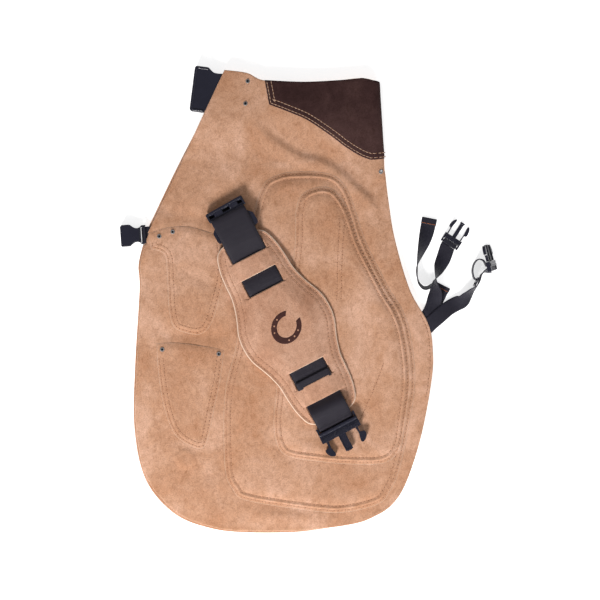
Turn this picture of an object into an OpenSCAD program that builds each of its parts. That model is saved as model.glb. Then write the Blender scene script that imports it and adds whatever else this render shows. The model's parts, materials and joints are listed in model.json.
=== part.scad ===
// Farrier's shoeing apron in split hide, folded in half along its centre line and laid flat,
// with its separate padded back-support belt lying on top. Units are millimetres.
// The apron lies in the XY plane: +Y is the waist, +X is the fold, +Z is up.
// "right" nodes belong to the upper half, "left" nodes to the half that lies underneath.

/* [Apron] */
// Width of one leg, from its outer edge to the edge of its inner flap
apron_w = 418; // [400:1:430]
// Height from the waist edge to the hem
apron_l = 622; // [600:1:640]
// Thickness of the main hide
hide_t = 2; // [1.8:0.1:2.2]
// Thickness of the wear patches and knife pockets
patch_t = 1.6; // [1.4:0.1:1.8]
// Thickness of the waist yoke leather
yoke_t = 1.2; // [1:0.1:1.4]
// Space between the two halves over the legs
leg_gap = 3.2; // [3:0.1:3.6]
// Space between the two halves at the waist, where the buckles lie
waist_gap = 12.4; // [12.4:0.1:14]
// How far a patch reaches past its stitching
seam_margin = 3; // [2:0.5:4]
// Height of the gape at the mouth of a knife pocket
pocket_gape = 4.6; // [4.4:0.1:5.4]

/* [Hardware] */
// Outer diameter of a rivet's flange
rivet_d = 6; // [5:0.5:7]
// Diameter of a nail magnet
magnet_d = 28; // [24:1:32]

/* [Webbing] */
// Width of the waist webbing
belt_web_w = 50; // [48:1:50]
// Width of the leg strap webbing
leg_web_w = 20; // [18:1:20]
// Thickness of all webbing
web_t = 1.5; // [1.2:0.1:1.6]

/* [Buckles] */
// Width of the waist buckles
belt_buckle_w = 61; // [60:1:64]
// Thickness of the waist buckles
belt_buckle_t = 11.4; // [10.5:0.1:11.6]
// Width of the leg strap buckles
leg_buckle_w = 28; // [27:1:30]
// Thickness of the leg strap buckles
leg_buckle_t = 6.6; // [6:0.1:7]

/* [Back support] */
// Length of the back pad
pad_l = 272; // [264:1:272]
// Width of the back pad at its middle
pad_w = 130; // [120:1:136]
// Thickness of the back pad without its front leather
pad_core_t = 5; // [4.5:0.1:6]

/* [Hidden] */

$fn = 48;
tan_hide = [0.79, 0.62, 0.51];
dark_hide = [0.24, 0.15, 0.14];
black = [0.12, 0.12, 0.16];
steel = [0.55, 0.54, 0.52];
slack = 0.3;            // clearance between pieces that only touch
curve_steps = 5;        // straight steps between two outline points
far = 400;              // reaches past every edge of the apron

// Levels, from the surface the apron lies on
left_z = 2 * patch_t;                              // underside of the lower hide over the legs
right_z = left_z + hide_t + leg_gap;               // underside of the upper hide over the legs
right_top = right_z + hide_t;
left_waist_z = yoke_t;                             // underside of the lower hide at the waist
right_waist_z = left_waist_z + hide_t + waist_gap; // underside of the upper hide at the waist
belt_z = right_top + 2 * patch_t + slack;          // underside of the back support

// The hides climb between these two heights to make room for the waist buckles
climb_low = 178;
climb_high = 252;
hinge_x = 128;          // line the upper half folds along when it is lifted
hinge_gap = 0.3;

// Outline points are for an apron 418 wide and 622 high
function at(p) = [p[0] * apron_w / 418, p[1] * apron_l / 622];
function spot(x, y) = at([x, y]);

// Smooth curve through a list of points
function between(p, i, t) =
    let (n = len(p), a = p[max(i - 1, 0)], b = p[i], c = p[i + 1], d = p[min(i + 2, n - 1)])
    0.5 * (2 * b + t * (c - a) + t * t * (2 * a - 5 * b + 4 * c - d) + t * t * t * (3 * b - 3 * c + d - a));
function curve(p, steps = curve_steps) =
    [for (i = [0 : len(p) - 2], k = [0 : steps - 1]) between(p, i, k / steps)];
// The same, closed on itself
function ring(p, steps = curve_steps) =
    let (n = len(p), q = concat([p[n - 1]], p, [p[0], p[1]]))
    [for (i = [1 : n], k = [0 : steps - 1]) between(q, i, k / steps)];
// Points moved away from a centre
function spread(p, centre, by) = [for (q = p) q + by * (q - centre) / norm(q - centre)];

leg_top = [[-71, 307], [-41, 303], [-18, 293], [33, 291], [79, 293], [115, 296], [137, 290]];
leg_side = [
    [143, 184], [149, 133], [158, 79], [178, 12], [203, -34], [209, -71], [207, -111], [193, -185],
    [173, -247], [155, -276], [132, -292], [101, -303], [36, -311], [-41, -312], [-90, -306],
    [-137, -286], [-175, -241], [-190, -173], [-189, -90], [-183, 12], [-184, 49], [-171, 96]
];
leg_outline = concat(
    [for (p = curve(leg_top)) at(p)], [spot(137, 290)],
    [for (p = curve(leg_side)) at(p)], [spot(-171, 96)]
);

yoke_low = [[-17, 293], [-11, 261], [15, 251], [40, 240], [72, 219], [92, 204], [117, 190], [143, 184]];
yoke_outline = concat(
    [spot(-17, 293.2), spot(-11, 261)],
    [for (p = curve([for (i = [1 : 7]) yoke_low[i]])) at(p)],
    [spot(143, 184), spot(137, 290)],
    [for (p = curve([[115, 296], [79, 293], [33, 291], [-17, 293.2]])) at(p)]
);

outer_seam = [
    [-22, 142], [-1, 163], [36, 168], [72, 164], [92, 146], [105, 112], [118, 72], [147, 13],
    [164, -14], [175, -46], [182, -106], [175, -165], [162, -226], [150, -255], [134, -273],
    [87, -284], [39, -281], [-41, -268], [-58, -254], [-68, -230], [-70, -165], [-66, -115],
    [-52, -60], [-48, 0], [-38, 70]
];
inner_seam = [
    [34, 137], [56, 147], [76, 143], [92, 122], [102, 96], [112, 68], [141, 10], [157, -17], [168, -48],
    [175, -106], [169, -165], [163, -198], [143, -217], [101, -219], [54, -215], [14, -208], [0, -190],
    [-3, -160], [1, -120], [6, -60], [16, 0], [25, 70], [26, 115]
];
outer_outline = [for (p = spread(ring(outer_seam), [52, -60], seam_margin)) at(p)];
inner_outline = [for (p = spread(ring(inner_seam), [80, -40], seam_margin)) at(p)];

upper_pocket_outline = [for (p = concat(
    curve([[-173, 88], [-145, 96], [-118, 96], [-88, 88]]), [[-88, 88]],
    curve([[-74, 84], [-72, 34], [-80, -4], [-90, -34], [-104, -47], [-124, -45], [-140, -36], [-146, -10],
        [-148, 30], [-152, 60], [-173, 68]])
)) at(p)];
lower_pocket_outline = [for (p = concat(
    curve([[-162, -60], [-130, -60], [-74, -68]]),
    curve([[-72, -70], [-78, -112], [-86, -150], [-92, -180], [-100, -200], [-116, -198], [-136, -184],
        [-148, -160], [-157, -122], [-162, -76]])
)) at(p)];

waist_rivets = [spot(-40, 292), spot(-43, 262)];
leg_rivets = [spot(-159, 84), spot(-141, 90)];
pocket_rivets = [spot(-155, -68), spot(-79, -74)];
crotch = spot(139, 171);
magnet = spot(-124, -215);
belt_place = [12, -38];
belt_turn = -61.4;

function ease(y) =
    let (share = min(max((y - climb_low) / (climb_high - climb_low), 0), 1))
    (1 - cos(180 * share)) / 2;
function left_level(y) = left_z + (left_waist_z - left_z) * ease(y);
function right_level(y) = right_z + (right_waist_z - right_z) * ease(y);
climb_stops = concat([-far], [for (k = [0 : 8]) climb_low + k * (climb_high - climb_low) / 8], [far]);

// A layer of hide: an outline, laid on the climbing level of its half
module layer(outline, upper, lift, t) {
    low = [for (y = climb_stops) [y, (upper ? right_level(y) : left_level(y)) + lift]];
    high = [for (i = [len(low) - 1 : -1 : 0]) low[i] + [0, t]];
    intersection() {
        linear_extrude(60) polygon(outline);
        translate([-far, 0, 0]) rotate([90, 0, 90]) linear_extrude(2 * far) polygon(concat(low, high));
    }
}

module slab(outline, z, t) { translate([0, 0, z]) linear_extrude(t) polygon(outline); }

module left_of_hinge() { translate([-far, -far, -1]) cube([far + hinge_x - hinge_gap, 2 * far, 80]); }
module flap_side() { translate([hinge_x + hinge_gap, -far, -1]) cube([far, far + climb_low - slack, 80]); }
module shank_holes(places) { for (p = places) translate([p[0], p[1], -1]) cylinder(h = 80, d = 3.3); }
// Hollows that a rivet's flange presses into webbing, from one level to another
module flange_beds(places, from, to) {
    for (p = places) translate([p[0], p[1], from]) cylinder(h = to - from, d = rivet_d + 0.2);
}

// One rivet: a tube with a rolled flange at each end
module rivet(p, low, high) {
    r = rivet_d / 2;
    flange = 0.8;
    translate([p[0], p[1], 0]) rotate_extrude() polygon([
        [0.7, low - flange], [r - 0.5, low - flange], [r, low - 0.3], [r, low], [1.5, low],
        [1.5, high], [r, high], [r, high + 0.3], [r - 0.5, high + flange], [1.4, high + flange],
        [0.7, high + 0.4]
    ]);
}

// A flat band that follows a line in its own XZ plane, w wide along Y
function side_of(p, i) =
    let (a = p[max(i - 1, 0)], b = p[min(i + 1, len(p) - 1)], d = (b - a) / norm(b - a)) [-d[1], d[0]];
module band(line, t, w) {
    left = [for (i = [0 : len(line) - 1]) line[i] + side_of(line, i) * t / 2];
    right = [for (i = [len(line) - 1 : -1 : 0]) line[i] - side_of(line, i) * t / 2];
    translate([0, w / 2, 0]) rotate([90, 0, 0]) linear_extrude(w) polygon(concat(left, right));
}
function arc(centre, r, from, to, n = 10) =
    [for (k = [0 : n]) centre + r * [cos(from + (to - from) * k / n), sin(from + (to - from) * k / n)]];

// A closed skin over rings of m points each. Point k of a ring lies across from point m - 1 - k,
// and the two faces are divided along the same diagonals, so a twisted strap keeps its thickness
module loft(points, m) {
    last = len(points) - m;
    walls = [for (i = [0 : m : last - m], k = [0 : m - 1])
        let (a = i + k, b = i + (k + 1) % m)
        each k < m / 2 ? [[a, b, b + m], [a, b + m, a + m]] : [[a, b, a + m], [b, b + m, a + m]]];
    near_end = [for (k = [0 : m / 2 - 2]) each [[m - 2 - k, k + 1, k], [m - 1 - k, m - 2 - k, k]]];
    far_end = [for (f = near_end) [last + f[2], last + f[1], last + f[0]]];
    polyhedron(points, concat(walls, near_end, far_end));
}

// Female half of a side-release buckle. Its mouth is at x = 0, its bar at the far end, its underside at z = 0.
// waist is its half width behind the prongs, as a share of its width
module female_buckle(w, l, t, web_w, bar_d, waist) {
    wall = t * 0.16;
    bar_x = l - bar_d / 2;
    neck = w * waist;
    tail = web_w / 2 + 2.2;
    corner = w * 0.05;
    half = concat(
        [[0, w / 2 - corner], [corner * 0.3, w / 2 - corner * 0.3], [corner, w / 2], [l * 0.32, w / 2]],
        curve([[l * 0.38, w / 2 - 0.5], [l * 0.5, (w * 0.43 + neck) / 2], [l * 0.62, neck], [l * 0.74, neck + 0.6],
            [l * 0.84, tail]], 4),
        [[l * 0.84, tail], [l, tail]]
    );
    mirrored = [for (i = [len(half) - 1 : -1 : 0]) [half[i][0], -half[i][1]]];
    slot_x = l - bar_d - 2 * web_t - 1.2;
    difference() {
        linear_extrude(t) polygon(concat(half, mirrored));
        // mouth and the room for the prongs
        translate([-1, -w / 2 + 2.2, wall]) cube([l * 0.36, w - 4.4, t - 2 * wall]);
        translate([l * 0.3, -w / 2 - 1, wall]) cube([l * 0.36, w + 2, t - 2 * wall]);
        // slot beside the bar, and the room around it for the webbing
        translate([slot_x, -web_w / 2 - 0.6, -1]) cube([l, web_w + 1.2, t + 2]);
        // shoulders slope down to the bar
        translate([l * 0.72, -w, t * 0.82]) rotate([0, 14, 0]) cube([l, 2 * w, t]);
    }
    translate([bar_x - 0.4, -web_w / 2 - 0.8, t / 2]) rotate([-90, 0, 0]) cylinder(h = web_w + 1.6, d = bar_d);
}

// Male half: bar at x = 0, tongue towards +x, without its two prongs
module male_buckle(w, t, web_w, bar_d, plate_from, plate_to, tongue_to, tongue_w) {
    cheek = (w - web_w) / 2 - 0.3;
    for (s = [-1, 1])
        translate([-bar_d / 2 - 0.6, s * (w - cheek) / 2 - cheek / 2, 0]) cube([plate_from + bar_d, cheek, t]);
    translate([0, -w / 2 + 0.5, t / 2]) rotate([-90, 0, 0]) cylinder(h = w - 1, d = bar_d);
    translate([plate_from, -w / 2, 0]) cube([plate_to - plate_from, w, t]);
    translate([plate_from + 1, -w / 2 + 3, t - 0.1]) cube([(plate_to - plate_from) * 0.45, w - 6, 0.9]);
    translate([plate_to - 1, -tongue_w / 2, t * 0.2]) cube([tongue_to - plate_to + 1, tongue_w, t * 0.6]);
    translate([tongue_to - 1, tongue_w / 2 - 1, t / 2]) rotate([90, 0, 0]) cylinder(h = tongue_w - 2, d = t * 0.6);
}

// One prong of a male half, from its root at the plate to its barbed tip. side is 1 or -1
module prong(w, t, root_x, tip_x, tip_w, side) {
    l = tip_x - root_x;
    y0 = w * 0.4;
    // each point is a share of the length, then of the tip's width
    shape = [[0, 0.1], [0.36, 0.12], [0.42, 0.7], [0.6, 0.78], [0.85, 0.5], [1, -0.1], [0.92, -0.42], [0.62, -0.3],
        [0.4, -0.2], [0, -0.3]];
    points = [for (p = curve(shape, 3)) [max(root_x + l * p[0], root_x + 0.4), side * (y0 + tip_w * p[1])]];
    translate([0, 0, t * 0.14]) linear_extrude(t * 0.72)
        polygon(concat(points, [[root_x + 0.4, side * (y0 - tip_w * 0.3)]]));
}

// ---- Lower (left) half ----

module half_hide(upper, holes) {
    difference() {
        layer(leg_outline, upper, 0, hide_t);
        translate([hinge_x + hinge_gap, climb_low - slack, -1]) cube([far, far, 80]);
        shank_holes(holes);
        // room for the bar end of this half's leg buckle, with its loop
        at_leg_buckle(-1, upper ? 0 : -1.5, upper ? 0 : -1)
            translate([-far, -leg_web_w / 2 - 3, 0]) cube([far + leg_buckle_l + 1.7, leg_web_w + 6, 80]);
    }
}

half_rivets = concat(waist_rivets, leg_rivets, pocket_rivets);

module left_leg_panel() { color(tan_hide) half_hide(false, concat(half_rivets, [crotch])); }

module left_yoke() {
    color(dark_hide) intersection() {
        layer(yoke_outline, false, -yoke_t, yoke_t);
        left_of_hinge();
    }
}

module left_outer_patch() { color(tan_hide) slab(outer_outline, patch_t, patch_t); }
module left_inner_patch() { color(tan_hide) slab(inner_outline, 0, patch_t); }

module left_upper_pocket() {
    color(tan_hide) difference() {
        slab(upper_pocket_outline, left_z - patch_t, patch_t);
        shank_holes(leg_rivets);
    }
}

module left_lower_pocket() {
    color(tan_hide) difference() {
        slab(lower_pocket_outline, left_z - patch_t, patch_t);
        shank_holes(pocket_rivets);
    }
}

module nail_magnet(z) {
    color(steel) translate([magnet[0], magnet[1], z]) cylinder(h = 1.2, d = magnet_d);
}
module left_nail_magnet() { nail_magnet(left_z + hide_t); }

module left_waist_rivets() {
    color(steel) for (p = waist_rivets) rivet(p, left_waist_z, left_waist_rivet_top);
}
module left_leg_rivets() {
    color(steel) for (p = leg_rivets) rivet(p, left_z - patch_t, left_z + hide_t + web_t - 0.8);
}
module left_pocket_rivets() { color(steel) for (p = pocket_rivets) rivet(p, left_z - patch_t, left_z + hide_t); }

// Waist male buckle of the lower half, folded inwards between the two halves
male_x = -8;
male_y = 261;
male_t = 7.4;
male_z = left_waist_z + hide_t + 2.4;
belt_bar_d = 4.4;
loop_end = -52;
function wrap_r(bar_d) = bar_d / 2 + web_t / 2 + 0.1;

left_loop_z = left_waist_z + hide_t + 0.25;
left_waist_rivet_top = left_loop_z + 2 * web_t - 0.8;
module left_waist_loop() {
    top = left_loop_z;
    bar_z = male_z + male_t / 2;
    line = concat(
        [[loop_end, top + web_t / 2], [male_x - 16, top + web_t / 2]],
        arc([male_x, bar_z], wrap_r(belt_bar_d), 260, 260 + 200, 14),
        [[male_x - 9, bar_z + 2], [male_x - 18, top + 1.5 * web_t + 0.4], [loop_end, top + 1.5 * web_t]]
    );
    color(black) difference() {
        translate([0, male_y, 0]) band(line, web_t, belt_web_w);
        shank_holes(waist_rivets);
        flange_beds(waist_rivets, left_waist_rivet_top, 80);
    }
}

module at_left_male() { translate([male_x, male_y, male_z]) children(); }
module left_waist_male() {
    color(black) at_left_male() male_buckle(58, male_t, belt_web_w + 1.4, belt_bar_d, 6.5, 19, 41, 8);
}
module left_waist_prong_a() { color(black) at_left_male() prong(58, male_t, 19, 42, 9, 1); }
module left_waist_prong_b() { color(black) at_left_male() prong(58, male_t, 19, 42, 9, -1); }

// Leg buckles lie one on the other at the outer edge
leg_buckle_l = 33;
leg_bar_d = 2.6;
leg_buckle_x = -210;
leg_buckle_y = 85;
leg_turn = 4;
module at_leg_buckle(z, dx, dy) {
    translate([leg_buckle_x + dx, leg_buckle_y + dy, z]) rotate([0, 0, leg_turn]) children();
}
module leg_loop(z, bar_z, dx, dy) {
    bar = leg_buckle_l - leg_bar_d / 2 - 0.4;
    turn = bar_z > z ? 1 : -1;
    line = concat(
        [[74, z + web_t / 2], [bar + 6, z + web_t / 2]],
        arc([bar, bar_z], wrap_r(leg_bar_d), -80 * turn, -300 * turn, 14)
    );
    color(black) difference() {
        at_leg_buckle(0, dx, dy) band(line, web_t, leg_web_w);
        shank_holes(leg_rivets);
        if (turn > 0) flange_beds(leg_rivets, -1, right_leg_rivet_low);
        else flange_beds(leg_rivets, left_z + hide_t + web_t - 0.8, 80);
    }
}

left_leg_z = 0;
right_leg_z = leg_buckle_t + slack;
right_leg_rivet_low = right_z - web_t + 0.75;
module left_leg_loop() { leg_loop(left_z + hide_t + 0.05, left_leg_z + leg_buckle_t / 2, -1.5, -1); }
module leg_female() { female_buckle(leg_buckle_w, leg_buckle_l, leg_buckle_t, leg_web_w, leg_bar_d, 0.31); }
module left_leg_female() { color(black) at_leg_buckle(left_leg_z, -1.5, -1) leg_female(); }

// ---- Fold at the centre of the waist, and the flap of the upper half ----

spine_from = climb_low;
spine_to = 291;
function fold_depth(y) = 15.5 - 7 * (y - spine_from) / (spine_to - spine_from);
// C-shaped section at height y, between two offsets outside the hide
function fold_section(y, inner, outer) =
    let (low = left_level(y), high = right_level(y) + hide_t, mid = (low + high) / 2, h = (high - low) / 2)
    [for (side = [[outer, -90], [inner, 90]], a = [0 : 22.5 : 180]) let (turn = side[1] + a * -sign(side[1]))
        [hinge_x + hinge_gap + (fold_depth(y) + side[0]) * cos(turn), y, mid + (h + side[0]) * sin(turn)]];
module fold_shell(from, to, inner, outer) {
    stations = 11;
    m = 18;
    step = (to - from) / (stations - 1);
    loft([for (s = [0 : stations - 1]) each fold_section(from + step * s, inner, outer)], m);
}
module hide_spine() { color(tan_hide) fold_shell(spine_from, spine_to, -hide_t, -0.05); }
module yoke_spine() { color(dark_hide) fold_shell(186, spine_to, 0.05, yoke_t); }
module crotch_rivet() { color(steel) rivet(crotch, left_z, right_top); }

module right_leg_flap() {
    color(tan_hide) intersection() {
        half_hide(true, [crotch]);
        flap_side();
    }
}
module right_outer_flap() {
    color(tan_hide) intersection() {
        slab(outer_outline, right_top, patch_t);
        flap_side();
    }
}
module right_inner_flap() {
    color(tan_hide) intersection() {
        slab(inner_outline, right_top + patch_t, patch_t);
        flap_side();
    }
}

// ---- Upper (right) half ----

module right_leg_panel() {
    color(tan_hide) intersection() {
        half_hide(true, half_rivets);
        left_of_hinge();
    }
}
module right_yoke() {
    color(dark_hide) intersection() {
        layer(yoke_outline, true, hide_t, yoke_t);
        left_of_hinge();
    }
}
module right_outer_patch() {
    color(tan_hide) intersection() {
        slab(outer_outline, right_top, patch_t);
        left_of_hinge();
    }
}
module right_inner_patch() {
    color(tan_hide) intersection() {
        slab(inner_outline, right_top + patch_t, patch_t);
        left_of_hinge();
    }
}

// A pocket that gapes at its mouth: a flat sewn rim and a raised shell that is open at its top end.
// The shell is level from mouth_corner to level_corner and slopes down to end_y
module gaping_pocket(outline, mouth_corner, level_corner, end_y) {
    mouth_y = mouth_corner[1];
    level_y = level_corner[1];
    w = level_corner[0] - mouth_corner[0];
    wall = patch_t;
    top = pocket_gape + wall;
    difference() {
        union() {
            slab(outline, right_top, patch_t);
            translate([mouth_corner[0], 0, right_top]) rotate([90, 0, 90]) linear_extrude(w)
                polygon([[end_y, 0], [mouth_y, 0], [mouth_y, top], [level_y, top], [end_y, wall]]);
        }
        translate([mouth_corner[0] + wall, 0, right_top]) rotate([90, 0, 90]) linear_extrude(w - 2 * wall)
            polygon([[end_y + 8, -1], [mouth_y + 20, -1], [mouth_y + 20, pocket_gape], [level_y, pocket_gape],
                [end_y + 8, 0.4]]);
    }
}
module right_upper_pocket() {
    color(tan_hide) difference() {
        gaping_pocket(upper_pocket_outline, spot(-134, 88), spot(-90, 48), spot(0, -26)[1]);
        shank_holes(leg_rivets);
    }
}
module right_lower_pocket() {
    color(tan_hide) difference() {
        gaping_pocket(lower_pocket_outline, spot(-146, -66), spot(-88, -106), spot(0, -176)[1]);
        shank_holes(pocket_rivets);
    }
}
module right_nail_magnet() { nail_magnet(right_z - 1.2 - 0.05); }
module right_waist_rivets() {
    color(steel) for (p = waist_rivets) rivet(p, right_waist_rivet_low, right_waist_z + hide_t);
}
module right_leg_rivets() {
    color(steel) for (p = leg_rivets) rivet(p, right_leg_rivet_low, right_top + patch_t);
}
module right_pocket_rivets() { color(steel) for (p = pocket_rivets) rivet(p, right_z, right_top + patch_t); }

// Waist female buckle of the upper half, reaching out past the waist tab
female_l = 50;
female_x = -114.5;
female_y = 283;
female_turn = -7.3;
waist_neck = 0.39;
female_z = left_waist_z + hide_t + 0.6;
module at_waist_female() { translate([female_x, female_y, female_z]) rotate([0, 0, female_turn]) children(); }
module right_waist_female() {
    color(black) at_waist_female()
        female_buckle(belt_buckle_w, female_l, belt_buckle_t, belt_web_w, belt_bar_d, waist_neck);
}
right_waist_rivet_low = right_waist_z - 2 * web_t + 0.7;
module right_waist_loop() {
    bar = [female_l - belt_bar_d / 2 - 0.4, belt_buckle_t / 2];
    top = right_waist_z - female_z;
    line = concat(
        [[84, top - web_t * 0.5 - 0.05], [66, top - web_t * 0.5 - 0.05]],
        arc(bar, wrap_r(belt_bar_d), 80, 80 + 200, 14),
        [[bar[0] + 9, bar[1] + 1.4], [70, top - 1.5 * web_t - 0.15], [84, top - 1.5 * web_t - 0.15]]
    );
    color(black) difference() {
        at_waist_female() band(line, web_t, belt_web_w);
        shank_holes(waist_rivets);
        flange_beds(waist_rivets, -1, right_waist_rivet_low);
    }
}
module right_leg_loop() { leg_loop(right_z - web_t - 0.05, right_leg_z + leg_buckle_t / 2, 0, 0); }
module right_leg_female() { color(black) at_leg_buckle(right_leg_z, 0, 0) leg_female(); }

// ---- Back-support belt, drawn along X and then laid across the apron ----

module on_webbing() { on_belt() rotate([0, 0, web_skew]) children(); }
module on_belt() { translate([belt_place[0], belt_place[1], belt_z]) rotate([0, 0, belt_turn]) children(); }

slit = 57;              // distance from the middle of the pad to the slits beside the centre
strip = 25;             // distance from one slit to the next
strip_end = 103.5;      // where the outer strips end and the webbing comes out
web_level = pad_core_t + 0.2;
tail_level = web_level + web_t + 0.1;
front_top = tail_level + web_t + 0.2 + patch_t;
channel_w = belt_web_w + 6;
web_skew = -1.2;        // the webbing crosses the pad at a slight angle
tail_end = 73;

// Half of one long edge, from the middle to the end, for a pad 272 long and 130 wide
pad_edge = [[0, 65], [20, 62.5], [44, 53], [66, 47], [88, 45.5], [108, 43], [126, 37], [134, 27], [136, 14]];
function backwards(p) = [for (i = [len(p) - 1 : -1 : 0]) p[i]];
function mirrored(p, sx, sy) = [for (q = p) [sx * q[0], sy * q[1]]];
pad_outline = let (
        whole = concat(mirrored(backwards(pad_edge), -1, 1), [for (i = [1 : len(pad_edge) - 1]) pad_edge[i]]),
        edge = mirrored(concat(curve(whole, 4), [pad_edge[len(pad_edge) - 1]]), pad_l / 272, pad_w / 130))
    concat(edge, mirrored(backwards(edge), 1, -1));

module pad_back() { color(tan_hide) on_belt() linear_extrude(patch_t) polygon(pad_outline); }
module pad_foam() {
    color("dimgray") on_belt() translate([0, 0, patch_t]) linear_extrude(pad_core_t - patch_t)
        polygon([for (p = pad_outline) p * 0.97]);
}
module pad_front() {
    color(tan_hide) on_belt() difference() {
        translate([0, 0, pad_core_t]) linear_extrude(front_top - pad_core_t) polygon(pad_outline);
        translate([-far, -channel_w / 2, 0]) cube([2 * far, channel_w, front_top - patch_t]);
        for (s = [-1, 1]) {
            translate([s * (slit + strip / 2) - strip / 2, -channel_w / 2, 0]) cube([strip, channel_w, 40]);
            translate([s * (strip_end + 50) - 50, -channel_w / 2, 0]) cube([100, channel_w, 40]);
        }
    }
}

belt_female_x = -184;
belt_female_l = 43.5;   // shorter than the other waist females, so its mouth stays clear of the pad
belt_female_turn = 2;
female_wrap = wrap_r(belt_bar_d) + 0.85;
belt_male_x = 143;
belt_male_t = 8;
belt_male_z = 2.4;
roll_top = 15.5;        // where the tail's roll over the male buckle is highest
module belt_webbing() {
    bar = [belt_female_x + belt_bar_d / 2 + 0.4, belt_buckle_t / 2];
    far_bar = [belt_male_x, belt_male_z + belt_male_t / 2];
    line = concat(
        arc(bar, female_wrap, -60, -260, 14),
        curve([[belt_female_x + 14, belt_buckle_t + 1.4], [-150, belt_buckle_t + 1.6], [-128, belt_buckle_t + 0.4],
            [-112, web_level + web_t / 2 + 0.6], [-100, web_level + web_t / 2]], 4),
        curve([[96, web_level + web_t / 2], [104, web_level + web_t / 2], [108, web_level + web_t / 2 + 0.1],
            [112, 7.3], [117, 10.6], [123, 12.4], [132, 9.5], [138.5, 3.6]], 4),
        arc(far_bar, wrap_r(belt_bar_d), -125, -20, 8)
    );
    color(black) on_webbing() band(line, web_t, belt_web_w);
}
module belt_tail() {
    far_bar = [belt_male_x, belt_male_z + belt_male_t / 2];
    line = concat(
        [[tail_end, tail_level + web_t / 2]],
        curve([[96, tail_level + web_t / 2], [104, tail_level + web_t / 2], [107.3, tail_level + web_t / 2 + 0.07],
            [110, 8.9], [113, 11.6], [117, 14.2], [122, roll_top], [133, 13.6], [139.5, far_bar[1] + 3.6]], 4),
        arc(far_bar, wrap_r(belt_bar_d), 95, -16, 8)
    );
    color(black) on_webbing() band(line, web_t, belt_web_w);
}
module belt_female() {
    color(black) on_webbing() translate([belt_female_x, 0, 0]) rotate([0, 0, 180 + belt_female_turn])
        translate([-belt_female_l, 0, 0])
            female_buckle(belt_buckle_w, belt_female_l, belt_buckle_t, belt_web_w, belt_bar_d, waist_neck);
}
module at_belt_male() { on_webbing() translate([belt_male_x, 0, belt_male_z]) children(); }
module belt_male() {
    color(black) at_belt_male() male_buckle(57, belt_male_t, belt_web_w + 1.4, belt_bar_d, 6.5, 18.5, 41, 8);
}
module belt_prong_a() { color(black) at_belt_male() prong(57, belt_male_t, 18.5, 40, 9, 1); }
module belt_prong_b() { color(black) at_belt_male() prong(57, belt_male_t, 18.5, 40, 9, -1); }

// ---- Leg straps: free webbing that lies beside the apron ----

// A flat strap swept along route points [x, y, z, lean]. lean is 0 lying flat and 90 standing on its edge
module strap(route, w) {
    n = len(route);
    sides = 8;
    function way(i) = let (a = route[max(i - 1, 0)], b = route[min(i + 1, n - 1)],
        d = [b[0] - a[0], b[1] - a[1], b[2] - a[2]]) d / norm(d);
    function across(i) = let (d = way(i), flat = cross([0, 0, 1], d), f = flat / norm(flat), up = cross(d, f))
        f * cos(route[i][3]) + up * sin(route[i][3]);
    function section(i) =
        let (f = across(i), u = cross(way(i), f), c = [route[i][0], route[i][1], route[i][2]])
        [for (k = [1 : sides]) let (a = 22.5 - 45 * k)
            c + f * (w / 2) * cos(a) / cos(22.5) + u * (web_t / 2) * sin(a) / sin(67.5)];
    points = [for (i = [0 : n - 1]) each section(i)];
    loft(points, sides);
}

strap_1_route = [
    [186, -40, 6, 0], [195, -31, 6, 0], [203, -22, 5.95, 0], [208, -13, 4.7, 0], [211, -3, 4.5, -5], [213, 8, 6.6, -34],
    [212.5, 18, 9.4, -64], [212.5, 26, 11, -88], [214.5, 34, 10, -116], [218, 43, 7.4, -148], [223, 53, 5, -170],
    [226.4, 62.4, 4.1, -180], [228.6, 69.2, 4, -180], [230.3, 72, 4, -180]
];
strap_1_tail_route = [
    [208.6, 20, 10.8, 84], [203, 15.6, 10.6, 78], [196.5, 15, 10.4, 76], [190.5, 21, 10.4, 80], [187.6, 31, 10.4, 88],
    [187.4, 42, 10.4, 90], [190, 54, 10.4, 74], [194, 67, 9, 52], [198.6, 81, 5.6, 26], [202, 94, 2.6, 8],
    [205, 109, 1.2, 0]
];
strap_2_route = [
    [190, -50, 7.6, 0], [199, -40, 7.6, 0], [208, -31.5, 7.6, 0], [218, -23, 7, 0], [229, -13.5, 5.4, 0],
    [240, -7, 3.4, 4],
    [249, -3, 4.4, 20], [255, 4, 7.2, 46], [261, 11, 9.8, 68], [268, 17.5, 11.4, 84], [271.5, 25, 12.4, 90],
    [273.5, 32, 13, 90], [278, 37, 13, 82], [283, 38.4, 13, 70], [287, 39.2, 13.4, 66]
];
strap_2_loop_route = [
    [281, 43.6, 11.4, 90], [279, 47.6, 11.4, 90],
    [276, 52, 11.8, 90], [269.4, 53, 12.2, 90], [263.8, 47, 12.4, 90], [261.8, 38, 12.4, 90],
    [263.2, 29.8, 12.2, 90], [266, 25.9, 12, 88]
];
strap_2_tail_route = [[212, -5.5, 0.9, 0], [216, 2.5, 0.9, 0], [220, 10.5, 0.9, 0], [224, 18.3, 0.9, 0]];
strap_male_w = 26;
strap_male_t = 5.6;
strap_bar_d = 2.6;
strap_plate = 11;
strap_tip = 33;

module strap_1() { color(black) strap(strap_1_route, leg_web_w); }
module strap_1_tail() { color(black) strap(strap_1_tail_route, leg_web_w); }
module strap_2() { color(black) strap(strap_2_route, leg_web_w); }
module strap_2_loop() { color(black) strap(strap_2_loop_route, leg_web_w); }
module strap_2_tail() { color(black) strap(strap_2_tail_route, leg_web_w); }

// Three-bar slide, standing on its edge where the second strap passes through it
module strap_2_slider() {
    slide_w = 24;
    bar = 2;
    color(black) translate([270.2, 21.4, slide_w / 2 + 0.4]) rotate([90, 0, 64]) difference() {
        translate([-6.5, -slide_w / 2, -4.5]) cube([13, slide_w, 1.8]);
        for (s = [-1, 1]) translate([s * 2.9 - 1.7, -leg_web_w / 2 - 0.4, -6]) cube([3.4, leg_web_w + 0.8, 12]);
    }
}

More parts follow.
